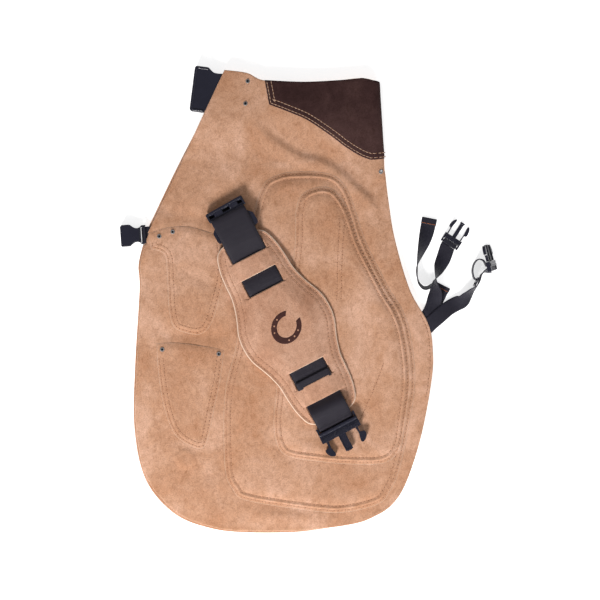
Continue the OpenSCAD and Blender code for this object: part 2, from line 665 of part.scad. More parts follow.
module at_strap_1_male() { translate([231.6, 74, 1.2]) rotate([0, 0, 57]) children(); }
module at_strap_2_male() {
    translate([288.6, 40, 13.4]) rotate([0, 0, 105]) rotate([66, 0, 0])
        translate([0, 0, -strap_male_t / 2]) children();
}
module strap_male() {
    male_buckle(strap_male_w, strap_male_t, leg_web_w + 1.2, strap_bar_d, 3.8, strap_plate, strap_tip, 4.6);
}
module strap_prong(side) { prong(strap_male_w, strap_male_t, strap_plate, strap_tip, 4.6, side); }
module strap_1_male() { color(black) at_strap_1_male() strap_male(); }
module strap_1_prong_a() { color(black) at_strap_1_male() strap_prong(1); }
module strap_1_prong_b() { color(black) at_strap_1_male() strap_prong(-1); }
module strap_2_male() { color(black) at_strap_2_male() strap_male(); }
module strap_2_prong_a() { color(black) at_strap_2_male() strap_prong(1); }
module strap_2_prong_b() { color(black) at_strap_2_male() strap_prong(-1); }

left_leg_panel();
left_yoke();
left_outer_patch();
left_inner_patch();
left_upper_pocket();
left_lower_pocket();
left_nail_magnet();
left_waist_rivets();
left_leg_rivets();
left_pocket_rivets();
left_waist_loop();
left_waist_male();
left_waist_prong_a();
left_waist_prong_b();
left_leg_loop();
left_leg_female();
hide_spine();
yoke_spine();
crotch_rivet();
right_leg_flap();
right_outer_flap();
right_inner_flap();
right_leg_panel();
right_yoke();
right_outer_patch();
right_inner_patch();
right_upper_pocket();
right_lower_pocket();
right_nail_magnet();
right_waist_rivets();
right_leg_rivets();
right_pocket_rivets();
right_waist_loop();
right_waist_female();
right_leg_loop();
right_leg_female();
belt_webbing();
belt_tail();
belt_female();
belt_male();
belt_prong_a();
belt_prong_b();
pad_back();
pad_foam();
pad_front();
strap_1();
strap_1_tail();
strap_1_male();
strap_1_prong_a();
strap_1_prong_b();
strap_2();
strap_2_loop();
strap_2_tail();
strap_2_slider();
strap_2_male();
strap_2_prong_a();
strap_2_prong_b();
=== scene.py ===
"""Looks of a split-hide shoeing apron, folded in half and laid flat with its back-support belt on top.

Everything is in metres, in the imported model's frame: +Y is the waist, +X the fold, +Z up.
"""

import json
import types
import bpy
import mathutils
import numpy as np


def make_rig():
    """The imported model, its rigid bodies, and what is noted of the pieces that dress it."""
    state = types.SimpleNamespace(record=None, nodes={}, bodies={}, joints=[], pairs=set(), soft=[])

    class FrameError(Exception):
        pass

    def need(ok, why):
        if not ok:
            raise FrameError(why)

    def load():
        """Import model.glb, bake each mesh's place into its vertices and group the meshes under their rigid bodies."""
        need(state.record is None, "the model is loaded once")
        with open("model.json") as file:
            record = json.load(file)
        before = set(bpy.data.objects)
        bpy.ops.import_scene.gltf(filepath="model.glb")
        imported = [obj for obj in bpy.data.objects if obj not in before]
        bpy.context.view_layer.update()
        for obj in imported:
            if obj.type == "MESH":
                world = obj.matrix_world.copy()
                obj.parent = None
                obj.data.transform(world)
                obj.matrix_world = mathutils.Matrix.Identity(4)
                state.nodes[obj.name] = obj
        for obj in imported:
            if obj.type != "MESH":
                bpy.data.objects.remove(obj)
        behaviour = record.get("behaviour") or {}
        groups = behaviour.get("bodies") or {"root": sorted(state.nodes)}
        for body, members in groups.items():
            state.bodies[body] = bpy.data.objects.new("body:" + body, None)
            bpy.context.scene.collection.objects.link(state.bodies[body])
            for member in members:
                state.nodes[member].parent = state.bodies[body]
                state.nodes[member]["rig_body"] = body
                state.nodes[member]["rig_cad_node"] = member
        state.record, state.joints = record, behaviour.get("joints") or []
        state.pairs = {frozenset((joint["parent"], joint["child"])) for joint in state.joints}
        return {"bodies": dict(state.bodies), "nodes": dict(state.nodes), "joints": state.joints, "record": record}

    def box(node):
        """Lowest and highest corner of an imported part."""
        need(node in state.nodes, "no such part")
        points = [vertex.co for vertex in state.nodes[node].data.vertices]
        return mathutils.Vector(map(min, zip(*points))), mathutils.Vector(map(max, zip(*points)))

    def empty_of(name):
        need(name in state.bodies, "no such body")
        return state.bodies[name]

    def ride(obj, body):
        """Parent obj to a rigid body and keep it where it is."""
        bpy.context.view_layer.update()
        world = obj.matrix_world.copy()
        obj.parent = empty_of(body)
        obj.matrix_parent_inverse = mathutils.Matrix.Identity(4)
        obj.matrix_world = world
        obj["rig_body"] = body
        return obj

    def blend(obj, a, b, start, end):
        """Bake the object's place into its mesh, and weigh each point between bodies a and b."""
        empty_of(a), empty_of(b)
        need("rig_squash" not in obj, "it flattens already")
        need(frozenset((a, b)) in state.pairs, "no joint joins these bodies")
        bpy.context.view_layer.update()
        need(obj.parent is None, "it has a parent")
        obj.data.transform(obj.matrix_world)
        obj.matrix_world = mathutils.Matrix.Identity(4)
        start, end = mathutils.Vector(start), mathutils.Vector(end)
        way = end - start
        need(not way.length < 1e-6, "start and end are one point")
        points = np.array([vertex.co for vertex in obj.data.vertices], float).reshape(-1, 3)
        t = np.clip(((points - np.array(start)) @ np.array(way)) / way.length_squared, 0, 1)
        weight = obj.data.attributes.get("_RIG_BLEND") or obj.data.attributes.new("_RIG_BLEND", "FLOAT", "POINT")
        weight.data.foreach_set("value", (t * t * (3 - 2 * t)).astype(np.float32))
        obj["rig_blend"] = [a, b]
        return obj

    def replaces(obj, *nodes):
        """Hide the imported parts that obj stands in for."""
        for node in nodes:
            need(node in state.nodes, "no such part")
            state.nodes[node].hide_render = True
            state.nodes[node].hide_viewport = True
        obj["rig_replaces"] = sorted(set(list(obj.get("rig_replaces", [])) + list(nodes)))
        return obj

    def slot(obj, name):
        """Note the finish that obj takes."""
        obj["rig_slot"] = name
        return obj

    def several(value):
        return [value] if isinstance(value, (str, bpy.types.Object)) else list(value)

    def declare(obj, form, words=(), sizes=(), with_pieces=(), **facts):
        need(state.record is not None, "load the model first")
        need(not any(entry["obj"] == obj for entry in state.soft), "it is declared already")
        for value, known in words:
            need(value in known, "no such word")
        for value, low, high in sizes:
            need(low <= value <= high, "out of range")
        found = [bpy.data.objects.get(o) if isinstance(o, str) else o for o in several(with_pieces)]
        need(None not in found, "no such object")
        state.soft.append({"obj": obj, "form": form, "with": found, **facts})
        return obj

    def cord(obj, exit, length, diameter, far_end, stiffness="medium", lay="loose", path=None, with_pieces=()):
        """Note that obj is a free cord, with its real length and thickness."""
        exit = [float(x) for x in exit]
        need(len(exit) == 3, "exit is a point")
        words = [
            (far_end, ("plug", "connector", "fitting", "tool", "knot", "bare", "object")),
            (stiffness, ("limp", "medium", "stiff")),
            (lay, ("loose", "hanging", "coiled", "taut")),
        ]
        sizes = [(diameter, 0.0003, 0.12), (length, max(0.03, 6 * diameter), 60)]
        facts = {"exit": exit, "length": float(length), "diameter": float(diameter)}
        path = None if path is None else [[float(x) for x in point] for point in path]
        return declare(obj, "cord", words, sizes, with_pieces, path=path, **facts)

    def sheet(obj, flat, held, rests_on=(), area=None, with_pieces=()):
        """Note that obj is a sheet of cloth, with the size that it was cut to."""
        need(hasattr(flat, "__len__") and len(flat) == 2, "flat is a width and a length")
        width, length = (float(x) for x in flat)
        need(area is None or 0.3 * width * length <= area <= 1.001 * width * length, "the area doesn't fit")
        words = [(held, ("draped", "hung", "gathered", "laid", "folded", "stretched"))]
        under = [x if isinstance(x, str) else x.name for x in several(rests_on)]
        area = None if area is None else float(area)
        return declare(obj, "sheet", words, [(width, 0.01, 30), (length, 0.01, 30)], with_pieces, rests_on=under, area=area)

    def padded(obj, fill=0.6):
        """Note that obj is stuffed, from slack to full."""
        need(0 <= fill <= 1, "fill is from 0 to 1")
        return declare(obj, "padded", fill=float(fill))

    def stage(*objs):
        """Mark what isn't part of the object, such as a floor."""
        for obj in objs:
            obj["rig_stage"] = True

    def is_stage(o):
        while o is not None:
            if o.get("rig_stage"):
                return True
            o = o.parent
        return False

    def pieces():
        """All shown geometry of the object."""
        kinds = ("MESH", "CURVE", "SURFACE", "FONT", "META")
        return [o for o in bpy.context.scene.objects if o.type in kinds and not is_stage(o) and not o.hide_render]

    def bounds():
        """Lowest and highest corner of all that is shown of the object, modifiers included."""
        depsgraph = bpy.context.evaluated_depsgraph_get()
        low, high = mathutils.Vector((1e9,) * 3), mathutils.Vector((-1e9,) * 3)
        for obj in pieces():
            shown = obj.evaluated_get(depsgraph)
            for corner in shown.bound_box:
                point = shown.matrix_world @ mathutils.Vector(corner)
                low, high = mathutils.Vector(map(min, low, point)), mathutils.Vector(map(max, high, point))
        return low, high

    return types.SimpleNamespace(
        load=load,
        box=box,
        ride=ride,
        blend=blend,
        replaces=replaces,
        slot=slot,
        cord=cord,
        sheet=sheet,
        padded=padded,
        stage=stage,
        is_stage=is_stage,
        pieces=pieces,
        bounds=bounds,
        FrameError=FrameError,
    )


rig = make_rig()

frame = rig.load()

import json
import math

import bpy
import numpy as np
from mathutils import Vector, noise
from mathutils.geometry import delaunay_2d_cdt
from mathutils.kdtree import KDTree

MM = 0.001
CAD_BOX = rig.bounds()
NODES = frame["nodes"]

# ---- measures taken from the frame

HIDE = 2.0 * MM
PATCH = 1.6 * MM
YOKE = 1.2 * MM
WEB = 1.5 * MM
LEG_WEB_WIDTH = 20 * MM
BELT_WEB_WIDTH = 50 * MM

UPPER_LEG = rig.box("right_outer_patch")[0].z        # outer face of the upper hide over the legs
UPPER_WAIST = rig.box("right_yoke")[1].z - YOKE
LOWER_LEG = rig.box("left_outer_patch")[1].z         # outer face of the lower hide over the legs
LOWER_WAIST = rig.box("left_yoke")[0].z + YOKE
CLIMB = (178 * MM, 252 * MM)                        # where the hides part to clear the waist buckles
HINGE_X = 128 * MM                                  # the line that the upper half turns about
NOWHERE = 9.0                                       # a distance longer than any here


def smooth(x, low, high):
    """0 below low, 1 above high, and an even curve between."""
    t = np.clip((np.asarray(x, float) - low) / (high - low), 0, 1)
    return t * t * (3 - 2 * t)


# ---- camera, floor and light

def add_camera():
    data = bpy.data.cameras.new("camera")
    camera = bpy.data.objects.new("camera", data)
    bpy.context.scene.collection.objects.link(camera)
    height, seen = 2.5, 0.8064
    camera.location = (0.0302, -0.0015, height + 0.012)
    data.sensor_width = 36
    data.lens = data.sensor_width * height / seen
    data.clip_end = 20
    bpy.context.scene.camera = camera


def add_area_light(name, place, target, size, power, color):
    data = bpy.data.lights.new(name, "AREA")
    data.shape = "DISK"
    data.size = size
    data.energy = power
    data.color = color
    light = bpy.data.objects.new(name, data)
    light.location = place
    light.rotation_euler = (Vector(target) - Vector(place)).to_track_quat("-Z", "Y").to_euler()
    bpy.context.scene.collection.objects.link(light)


def add_studio():
    add_area_light("key", (-0.7, -2.05, 1.65), (0, 0, 0), 0.8, 85, (1.0, 0.985, 0.97))
    add_area_light("glint", (1.1, -1.9, 1.6), (0, 0, 0), 0.5, 9, (1.0, 0.99, 0.98))
    add_area_light("fill", (1.6, 1.0, 2.4), (0, 0, 0), 2.2, 8, (0.97, 0.98, 1.0))
    world = bpy.data.worlds.new("studio")
    world.use_nodes = True
    background = world.node_tree.nodes["Background"]
    background.inputs["Color"].default_value = (1, 1, 1, 1)
    background.inputs["Strength"].default_value = 0.27
    bpy.context.scene.world = world
    bpy.context.scene.view_settings.view_transform = "Standard"


# ---- materials

class Shader:
    """A Principled material with short helpers for its procedural inputs."""

    def __init__(self, name, **constants):
        self.material = bpy.data.materials.new(name)
        self.material.use_nodes = True
        self.nodes = self.material.node_tree.nodes
        self.links = self.material.node_tree.links
        self.principled = self.nodes["Principled BSDF"]
        for key, value in constants.items():
            self.principled.inputs[key.replace("_", " ")].default_value = value

    def feed(self, value, socket):
        """Gives a socket a number, a colour or another node's output."""
        if isinstance(value, (int, float)):
            socket.default_value = value
        elif isinstance(value, tuple):
            socket.default_value = (*value, 1)
        elif value is not None:
            self.links.new(value, socket)

    def node(self, kind, **values):
        """A node with its settings and inputs given by name. An underscore stands for a space."""
        made = self.nodes.new(kind)
        for key, value in values.items():
            if hasattr(made, key):
                setattr(made, key, value)
            else:
                self.feed(value, made.inputs[key.replace("_", " ")])
        return made

    def coordinates(self, scale=(1, 1, 1), turn=0.0):
        mapping = self.node("ShaderNodeMapping", Vector=self.node("ShaderNodeTexCoord").outputs["Object"])
        mapping.inputs["Scale"].default_value = scale
        mapping.inputs["Rotation"].default_value = (0, 0, turn)
        return mapping.outputs["Vector"]

    def noise(self, vector, scale, detail=3.0, roughness=0.55, distortion=0.0):
        return self.node("ShaderNodeTexNoise", Vector=vector, Scale=scale, Detail=detail, Roughness=roughness,
                         Distortion=distortion).outputs["Fac"]

    def ramp(self, factor, stops):
        made = self.node("ShaderNodeValToRGB", Fac=factor)
        elements = made.color_ramp.elements
        while len(elements) < len(stops):
            elements.new(0.5)
        for element, (position, color) in zip(elements, stops):
            element.position = position
            element.color = (*color, 1)
        return made.outputs["Color"]

    def mix(self, factor, a, b, blend="MIX"):
        made = self.node("ShaderNodeMix", data_type="RGBA", blend_type=blend)
        for value, socket in ((factor, 0), (a, 6), (b, 7)):
            self.feed(value, made.inputs[socket])
        return made.outputs[2]

    def math(self, operation, a, b):
        made = self.node("ShaderNodeMath", operation=operation)
        self.feed(a, made.inputs[0])
        self.feed(b, made.inputs[1])
        return made.outputs[0]

    def range(self, factor, low, high):
        return self.node("ShaderNodeMapRange", Value=factor, To_Min=low, To_Max=high).outputs["Result"]

    def bump(self, height, strength, distance, normal=None):
        return self.node("ShaderNodeBump", Height=height, Strength=strength, Distance=distance,
                         Normal=normal).outputs["Normal"]

    def finish(self, color, roughness=None, normal=None):
        for name, value in (("Base Color", color), ("Roughness", roughness), ("Normal", normal)):
            self.feed(value, self.principled.inputs[name])
        return self.material


def scaled(color, by):
    return tuple(c * by for c in color)


def suede(name, base, warm, pale, contrast=1.0):
    """Split hide: a short matt nap, cloudy patches of handling, and a speckle of lifted fibre."""
    s = Shader(name, Roughness=0.93, Specular_IOR_Level=0.15, Sheen_Weight=0.10, Sheen_Roughness=0.55)
    s.principled.inputs["Sheen Tint"].default_value = (*pale, 1)
    spot = s.coordinates()
    clouds = s.noise(spot, 14, 5, 0.62, 0.5)
    patches = s.noise(spot, 55, 5, 0.68, 0.8)
    blotches = s.noise(s.coordinates((1, 0.8, 1), 0.6), 150, 4, 0.7, 0.6)
    speckle = s.noise(spot, 620, 3, 0.75)
    fibre = s.noise(s.coordinates((1, 0.5, 1), 0.35), 2300, 2, 0.7)
    color = s.ramp(clouds, [(0.36, warm), (0.5, base), (0.66, pale)])
    handled = s.math("MULTIPLY", s.range(patches, -0.5, 1.3), 0.34 * contrast)
    color = s.mix(handled, color, scaled(pale, 1.10))
    dark = s.ramp(
        blotches, [(0.30, (0.74, 0.68, 0.62)), (0.50, (0.98, 0.97, 0.96)), (0.72, (1.12, 1.12, 1.13))])
    color = s.mix(0.8 * contrast, color, dark, "MULTIPLY")
    speck = s.ramp(
        speckle, [(0.32, (0.62, 0.56, 0.52)), (0.48, (0.96, 0.96, 0.96)), (0.70, (1.18, 1.18, 1.18))])
    color = s.mix(0.72, color, speck, "MULTIPLY")
    normal = None
    for height, strength, depth in (
        (patches, 0.16, 0.0030), (blotches, 0.24, 0.0014), (speckle, 0.50, 0.0006), (fibre, 0.30, 0.0002),
    ):
        normal = s.bump(height, strength, depth, normal)
    return s.finish(color, s.range(patches, 0.88, 0.98), normal)


def cut_edge(name, color):
    """The raw cut side of a hide: pale, fibrous and slightly uneven."""
    s = Shader(name, Roughness=0.95, Specular_IOR_Level=0.1, Sheen_Weight=0.2)
    layers = s.noise(s.coordinates((1, 1, 7)), 420, 3, 0.7)
    tone = s.ramp(layers, [(0.3, scaled(color, 0.8)), (0.7, color)])
    return s.finish(tone, None, s.bump(layers, 0.4, 0.0004))


def thread(name, color):
    s = Shader(name, Roughness=0.6, Specular_IOR_Level=0.35, Sheen_Weight=0.15)
    twist = s.noise(s.coordinates(), 1500, 2)
    tone = s.ramp(twist, [(0.35, scaled(color, 0.72)), (0.65, color)])
    return s.finish(tone, None, s.bump(twist, 0.3, 0.0002))


def webbing_material(name, color, pale, across, along):
    """Woven webbing: UV x runs across in metres and UV y runs along. Fine warp cords under a ribbed weft, coloured
    darker in the weave's hollows and paler on its ridges: painted shade and painted light.
    """
    s = Shader(name, Roughness=0.62, Specular_IOR_Level=0.32, Sheen_Weight=0.12, Sheen_Roughness=0.4)
    weave = s.node("ShaderNodeSeparateXYZ", Vector=s.node("ShaderNodeUVMap", uv_map="weave").outputs["UV"])
    x, y = weave.outputs[0], weave.outputs[1]
    half_step = s.math("MULTIPLY", s.math("FRACT", s.math("MULTIPLY", x, 0.5 / across), 0.0), 2)
    stagger = s.math("MULTIPLY", s.math("GREATER_THAN", half_step, 1.0), 0.5)
    turns = s.math("MULTIPLY", s.math("ADD", s.math("MULTIPLY", y, 1 / along), stagger), 2 * math.pi)
    weft = s.math("SINE", turns, 0.0)
    warp = s.math("SINE", s.math("MULTIPLY", x, 2 * math.pi / across), 0.0)
    height = s.math("ADD", s.math("MULTIPLY", weft, 0.6), s.math("MULTIPLY", warp, 0.4))
    mottled = s.noise(s.coordinates(), 60, 3)
    # painted shade and light: the colour follows the weave's height, darker in its hollows and paler on its ridges
    shade = s.ramp(s.range(height, 0.1, 0.9), [(0.0, scaled(color, 0.55)), (1.0, pale)])
    # uneven wear: mottled noise fades the painted weave shade towards the plain colour
    shade_and_wear = s.mix(s.range(mottled, 0.2, 0.8), shade, color)
    return s.finish(shade_and_wear, s.range(mottled, 0.5, 0.72), s.bump(height, 0.55, 0.0003))


def plastic(name, color, roughness):
    """Moulded acetal: satin skin with a faint spark-eroded texture and handling marks."""
    s = Shader(name, Roughness=roughness, Specular_IOR_Level=0.45)
    marks = s.noise(s.coordinates(), 55, 4, 0.6)
    fine = s.noise(s.coordinates(), 1400, 2)
    tone = s.mix(s.range(marks, 0.0, 0.6), color, scaled(color, 1.7))
    return s.finish(tone, s.range(marks, roughness - 0.07, roughness + 0.12), s.bump(fine, 0.10, 0.0002))


def metal(name, color, roughness):
    s = Shader(name, Roughness=roughness, Metallic=0.9)
    wear = s.noise(s.coordinates(), 260, 3)
    tone = s.ramp(wear, [(0.3, scaled(color, 0.6)), (0.7, color)])
    return s.finish(tone, s.range(wear, roughness - 0.08, roughness + 0.15), s.bump(wear, 0.12, 0.0002))


def plain(name, color):
    s = Shader(name, Roughness=0.9, Specular_IOR_Level=0.1)
    return s.finish(s.ramp(s.noise(s.coordinates(), 300), [(0.3, scaled(color, 0.7)), (0.7, color)]))


TAN = suede("tan_suede", (0.52, 0.285, 0.175), (0.47, 0.235, 0.130), (0.64, 0.385, 0.270))
PAD_SUEDE = suede("pad_suede", (0.50, 0.275, 0.180), (0.44, 0.225, 0.138), (0.60, 0.36, 0.255), 0.9)
YOKE_SUEDE = suede("yoke_suede", (0.040, 0.0180, 0.0175), (0.026, 0.0105, 0.0105), (0.062, 0.031, 0.029))
CUT = cut_edge("cut_edge", (0.80, 0.60, 0.46))
YOKE_CUT = cut_edge("yoke_cut_edge", (0.07, 0.035, 0.03))
TAN_THREAD = thread("tan_thread", (0.56, 0.29, 0.165))
PALE_THREAD = thread("pale_thread", (0.62, 0.40, 0.28))
ORANGE_THREAD = thread("orange_thread", (0.55, 0.16, 0.05))
# painted shade: a flat dark disc after each stitch stands in for the shade inside its needle hole
NEEDLE_HOLE_SHADE = plain("needle_hole", (0.22, 0.10, 0.055))
BRAND = plain("branded_leather", (0.070, 0.030, 0.026))
# each webbing's second colour is the painted light on its weave's ridges
BELT_WEB = webbing_material(
    "belt_webbing_weave", (0.013, 0.010, 0.018), (0.042, 0.034, 0.056), 1.5 * MM, 1.9 * MM)
LEG_WEB = webbing_material(
    "leg_webbing_weave", (0.010, 0.009, 0.020), (0.036, 0.032, 0.058), 1.2 * MM, 1.5 * MM)
BLACK_PLASTIC = plastic("black_acetal", (0.010, 0.010, 0.020), 0.25)
RIVET_METAL = metal("nickel_rivet", (0.55, 0.55, 0.56), 0.32)
MAGNET_METAL = metal("magnet_plate", (0.5, 0.5, 0.5), 0.4)
FOAM = plain("foam", (0.12, 0.12, 0.12))
# painted shade: near black, for flat pieces that stand in for the shade inside hollows, on the rivets and in the belt
# female's windows
HOLLOW_SHADE = plain("rivet_hole", (0.012, 0.012, 0.014))


# ---- mesh helpers

def mm(*points):
    return np.array(points, float) * MM


def unit(vectors):
    return vectors / np.linalg.norm(vectors, axis=1)[:, None]


def turned(flat, angle):
    c, s = math.cos(angle), math.sin(angle)
    return flat @ np.array([[c, s], [-s, c]])


def at_height(flat, height):
    return np.concatenate([flat, height[:, None]], 1)


def assign(piece, slot, bodies, *nodes):
    """Says which slot a piece has, which CAD nodes it stands for, and which body it rides on."""
    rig.slot(piece, slot)
    if nodes:
        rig.replaces(piece, *nodes)
    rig.ride(piece, bodies)
    return piece


def make_object(name, points, faces, materials, face_materials=None, uvs=None, smooth_shade=True):
    """A mesh object. uvs, where given, are one (u, v) for each vertex."""
    mesh = bpy.data.meshes.new(name)
    mesh.from_pydata([tuple(p) for p in points], [], [tuple(int(i) for i in f) for f in faces])
    for m in materials:
        mesh.materials.append(m)
    if face_materials is not None:
        mesh.polygons.foreach_set("material_index", np.asarray(face_materials, np.int32))
    if uvs is not None:
        layer = mesh.uv_layers.new(name="weave")
        corners = np.zeros(len(mesh.loops), np.int32)
        mesh.loops.foreach_get("vertex_index", corners)
        layer.data.foreach_set("uv", np.asarray(uvs, np.float32)[corners].ravel())
    mesh.polygons.foreach_set("use_smooth", [smooth_shade] * len(mesh.polygons))
    mesh.update()
    made = bpy.data.objects.new(name, mesh)
    bpy.context.scene.collection.objects.link(made)
    return made


def loops_of(node):
    """Closed outlines of the upward faces of a CAD node, the longest first, as (n, 2) arrays."""
    mesh = NODES[node].data
    sides = set()
    for polygon in mesh.polygons:
        if polygon.normal.z < 0.9:
            continue
        ring = [tuple(round(c, 5) for c in mesh.vertices[i].co.xy) for i in polygon.vertices]
        sides.update((a, b) for a, b in zip(ring, ring[1:] + ring[:1]) if a != b)
    after = {a: b for a, b in sides if (b, a) not in sides}
    loops = []
    while after:
        start, step = after.popitem()
        loop = [start]
        while step != start and step in after:
            loop.append(step)
            step = after.pop(step)
        loops.append(np.array(loop))
    return sorted(loops, key=lambda p: -np.abs(np.diff(p, axis=0)).sum())


def area_of(loop):
    x, y = loop[:, 0], loop[:, 1]
    return 0.5 * float(np.sum(x * np.roll(y, -1) - np.roll(x, -1) * y))


def bend(before, a, b, beyond, step):
    """Points about step apart on a smooth curve from a towards b, which also knows their neighbours."""
    steps = max(1, round(np.linalg.norm((b - a)[:3]) / step))
    t = np.arange(steps)[:, None] / steps
    return 0.5 * (2 * a + t * (b - before) + t ** 2 * (2 * before - 5 * a + 4 * b - beyond)
                  + t ** 3 * (3 * a - before - 3 * b + beyond))


def resample(loop, step, corner=24.0):
    """A closed outline with points about step apart, curved except at turns of more than corner degrees."""
    n = len(loop)
    ahead, behind = np.roll(loop, -1, 0) - loop, loop - np.roll(loop, 1, 0)
    turn = np.arctan2(behind[:, 0] * ahead[:, 1] - behind[:, 1] * ahead[:, 0], (behind * ahead).sum(1))
    sharp = np.abs(np.degrees(turn)) > corner
    out = []
    for i in range(n):
        a, b = loop[i], loop[(i + 1) % n]
        before = 2 * a - b if sharp[i] else loop[i - 1]
        beyond = 2 * b - a if sharp[(i + 1) % n] else loop[(i + 2) % n]
        out.append(bend(before, a, b, beyond, step))
    return np.concatenate(out)


def curve_through(points, step):
    """An open smooth line through points, in metres."""
    p = np.asarray(points, float)
    p = np.concatenate([[2 * p[0] - p[1]], p, [2 * p[-1] - p[-2]]])
    return np.concatenate([bend(*p[i - 1:i + 3], step) for i in range(1, len(p) - 2)] + [p[-2:-1]])


def spaced_along(line, gap):
    """Points and directions every gap along an open line."""
    legs = np.diff(line, axis=0)
    lengths = np.linalg.norm(legs, axis=1)
    ends = np.concatenate([[0], np.cumsum(lengths)])
    at = np.arange(gap / 2, ends[-1], gap)
    leg = np.clip(np.searchsorted(ends, at, "right") - 1, 0, len(legs) - 1)
    share = ((at - ends[leg]) / lengths[leg])[:, None]
    return line[leg] + share * legs[leg], legs[leg] / lengths[leg][:, None]


def nearest_leg(points, line):
    """Distance from each point to an open line, and 1 for a point on the line's left or -1 on its right."""
    best, sign = np.full(len(points), NOWHERE), np.ones(len(points))
    for a, b in zip(line[:-1], line[1:]):
        leg = b - a
        t = np.clip(((points - a) @ leg) / max(leg @ leg, 1e-18), 0, 1)
        off = points - a - t[:, None] * leg
        gap = np.hypot(*off.T)
        nearer = gap < best
        best = np.where(nearer, gap, best)
        sign = np.where(nearer, np.sign(leg[0] * off[:, 1] - leg[1] * off[:, 0]), sign)
    return best, sign


def distance(points, line):
    """Distance from each point to an open line. A long line is searched by its tree."""
    return Near([line])(points) if len(line) > 24 else nearest_leg(points, line)[0]


class Near:
    """Distance from points of the plan to a set of long lines, by way of the nearest of many short pieces."""

    def __init__(self, lines, gap=0.5 * MM):
        spots, ways = zip(*(spaced_along(np.asarray(line), gap) for line in lines))
        self.spots, self.ways, self.reach = np.concatenate(spots), np.concatenate(ways), gap / 2
        self.tree = KDTree(len(self.spots))
        for i, (x, y) in enumerate(self.spots):
            self.tree.insert((x, y, 0), i)
        self.tree.balance()

    def __call__(self, flat):
        find = self.tree.find
        nearest = [find((x, y, 0))[1] for x, y in flat.tolist()]
        off, way = flat - self.spots[nearest], self.ways[nearest]
        past = np.maximum(np.abs((off * way).sum(1)) - self.reach, 0)
        return np.hypot(past, off[:, 0] * way[:, 1] - off[:, 1] * way[:, 0])


def closed(loop):
    return np.concatenate([loop, loop[:1]])


def inside(points, loop):
    order = np.argsort(points[:, 1])
    x, y = points[order].T
    odd = np.zeros(len(points), bool)
    for (ax, ay), (bx, by) in zip(loop, np.roll(loop, -1, 0)):
        if ay != by:
            low, high = np.searchsorted(y, (min(ay, by), max(ay, by)))
            odd[low:high] ^= x[low:high] < (bx - ax) * (y[low:high] - ay) / (by - ay) + ax
    back = np.empty(len(points), bool)
    back[order] = odd
    return back


def depth_in(points, loop):
    """How far inside an outline each point is, negative outside."""
    return distance(points, closed(loop)) * np.where(inside(points, loop), 1, -1)


def left_of(ways):
    """Unit directions to the left of directions in the plan."""
    return np.stack([-ways[:, 1], ways[:, 0]], 1) / np.linalg.norm(ways, axis=1)[:, None]


def inset(loop, by):
    """The outline moved inwards, without the points that came too near another side. It runs anticlockwise."""
    moved = loop + by * left_of(np.roll(loop, -1, 0) - np.roll(loop, 1, 0))
    return moved[distance(moved, closed(loop)) > 0.93 * by]


def boundary_of(faces):
    """Directed rim edges of triangles, as an (n, 2) array."""
    sides = {(f[i], f[(i + 1) % 3]) for f in faces.tolist() for i in range(3)}
    return np.array([s for s in sides if (s[1], s[0]) not in sides])


def solid_sheet(name, flat, faces, top, bottom, materials, round_edge=0.25 * MM):
    """A closed sheet between two surfaces over the same triangles. The rim gets the second material."""
    n = len(flat)
    rim = boundary_of(faces)
    order = np.unique(rim)
    lookup = {v: 2 * n + i for i, v in enumerate(order.tolist())}
    ahead = np.zeros((n, 2))
    for a, b in rim:
        leg = flat[b] - flat[a]
        ahead[a] += leg
        ahead[b] += leg
    outward = np.stack([ahead[:, 1], -ahead[:, 0], np.zeros(n)], 1)
    outward /= np.maximum(np.linalg.norm(outward, axis=1), 1e-9)[:, None]
    middle = (top[order] + bottom[order]) / 2 + outward[order] * round_edge
    points = np.concatenate([top, bottom, middle])
    walls = []
    for a, b in rim.tolist():
        walls += [(a, lookup[a], lookup[b], b), (lookup[a], a + n, b + n, lookup[b])]
    all_faces = faces.tolist() + (faces[:, ::-1] + n).tolist() + walls
    slots = [0] * (2 * len(faces)) + [1] * len(walls)
    return make_object(name, points, all_faces, materials, slots)


# ---- webbing strips and leg straps

def across_of(route):
    """Directions along a flat strap and across it, from the lean of each route point in degrees."""
    way = unit(np.gradient(route[:, :3], axis=0))
    flat = unit(np.cross([0, 0, 1], way))
    lean = np.radians(route[:, 3])[:, None]
    return way, flat * np.cos(lean) + np.cross(way, flat) * np.sin(lean)


def strip(name, centre, across, up, width, thickness, material, start=0.0):
    """A woven strip with rounded selvedges that follows centre points. start shifts the weave along it."""
    shares = (-1, -0.96, -0.8, -0.45, 0, 0.45, 0.8, 0.96, 1)
    section = [(x, 1) for x in shares] + [(x, -1) for x in shares[-2:0:-1]]
    profile = [(x * width / 2, side * thickness / 2 * (0.0 if abs(x) == 1 else 0.72 if abs(x) > 0.9 else 1.0))
               for x, side in section]
    m, n = len(profile), len(centre)
    run = np.concatenate([[0], np.cumsum(np.linalg.norm(np.diff(centre, axis=0), axis=1))]) + start
    points = [c + f * x + u * z for c, f, u in zip(centre, across, up) for x, z in profile]
    uvs = [(x, r) for r in run for x, z in profile]
    faces = []
    for i in range(n - 1):
        for k in range(m):
            a, b = i * m + k, i * m + (k + 1) % m
            faces.append((a, a + m, b + m, b))
    faces += [tuple(range(m)), tuple((n - 1) * m + k for k in reversed(range(m)))]
    return make_object(name, points, faces, [material], uvs=uvs)


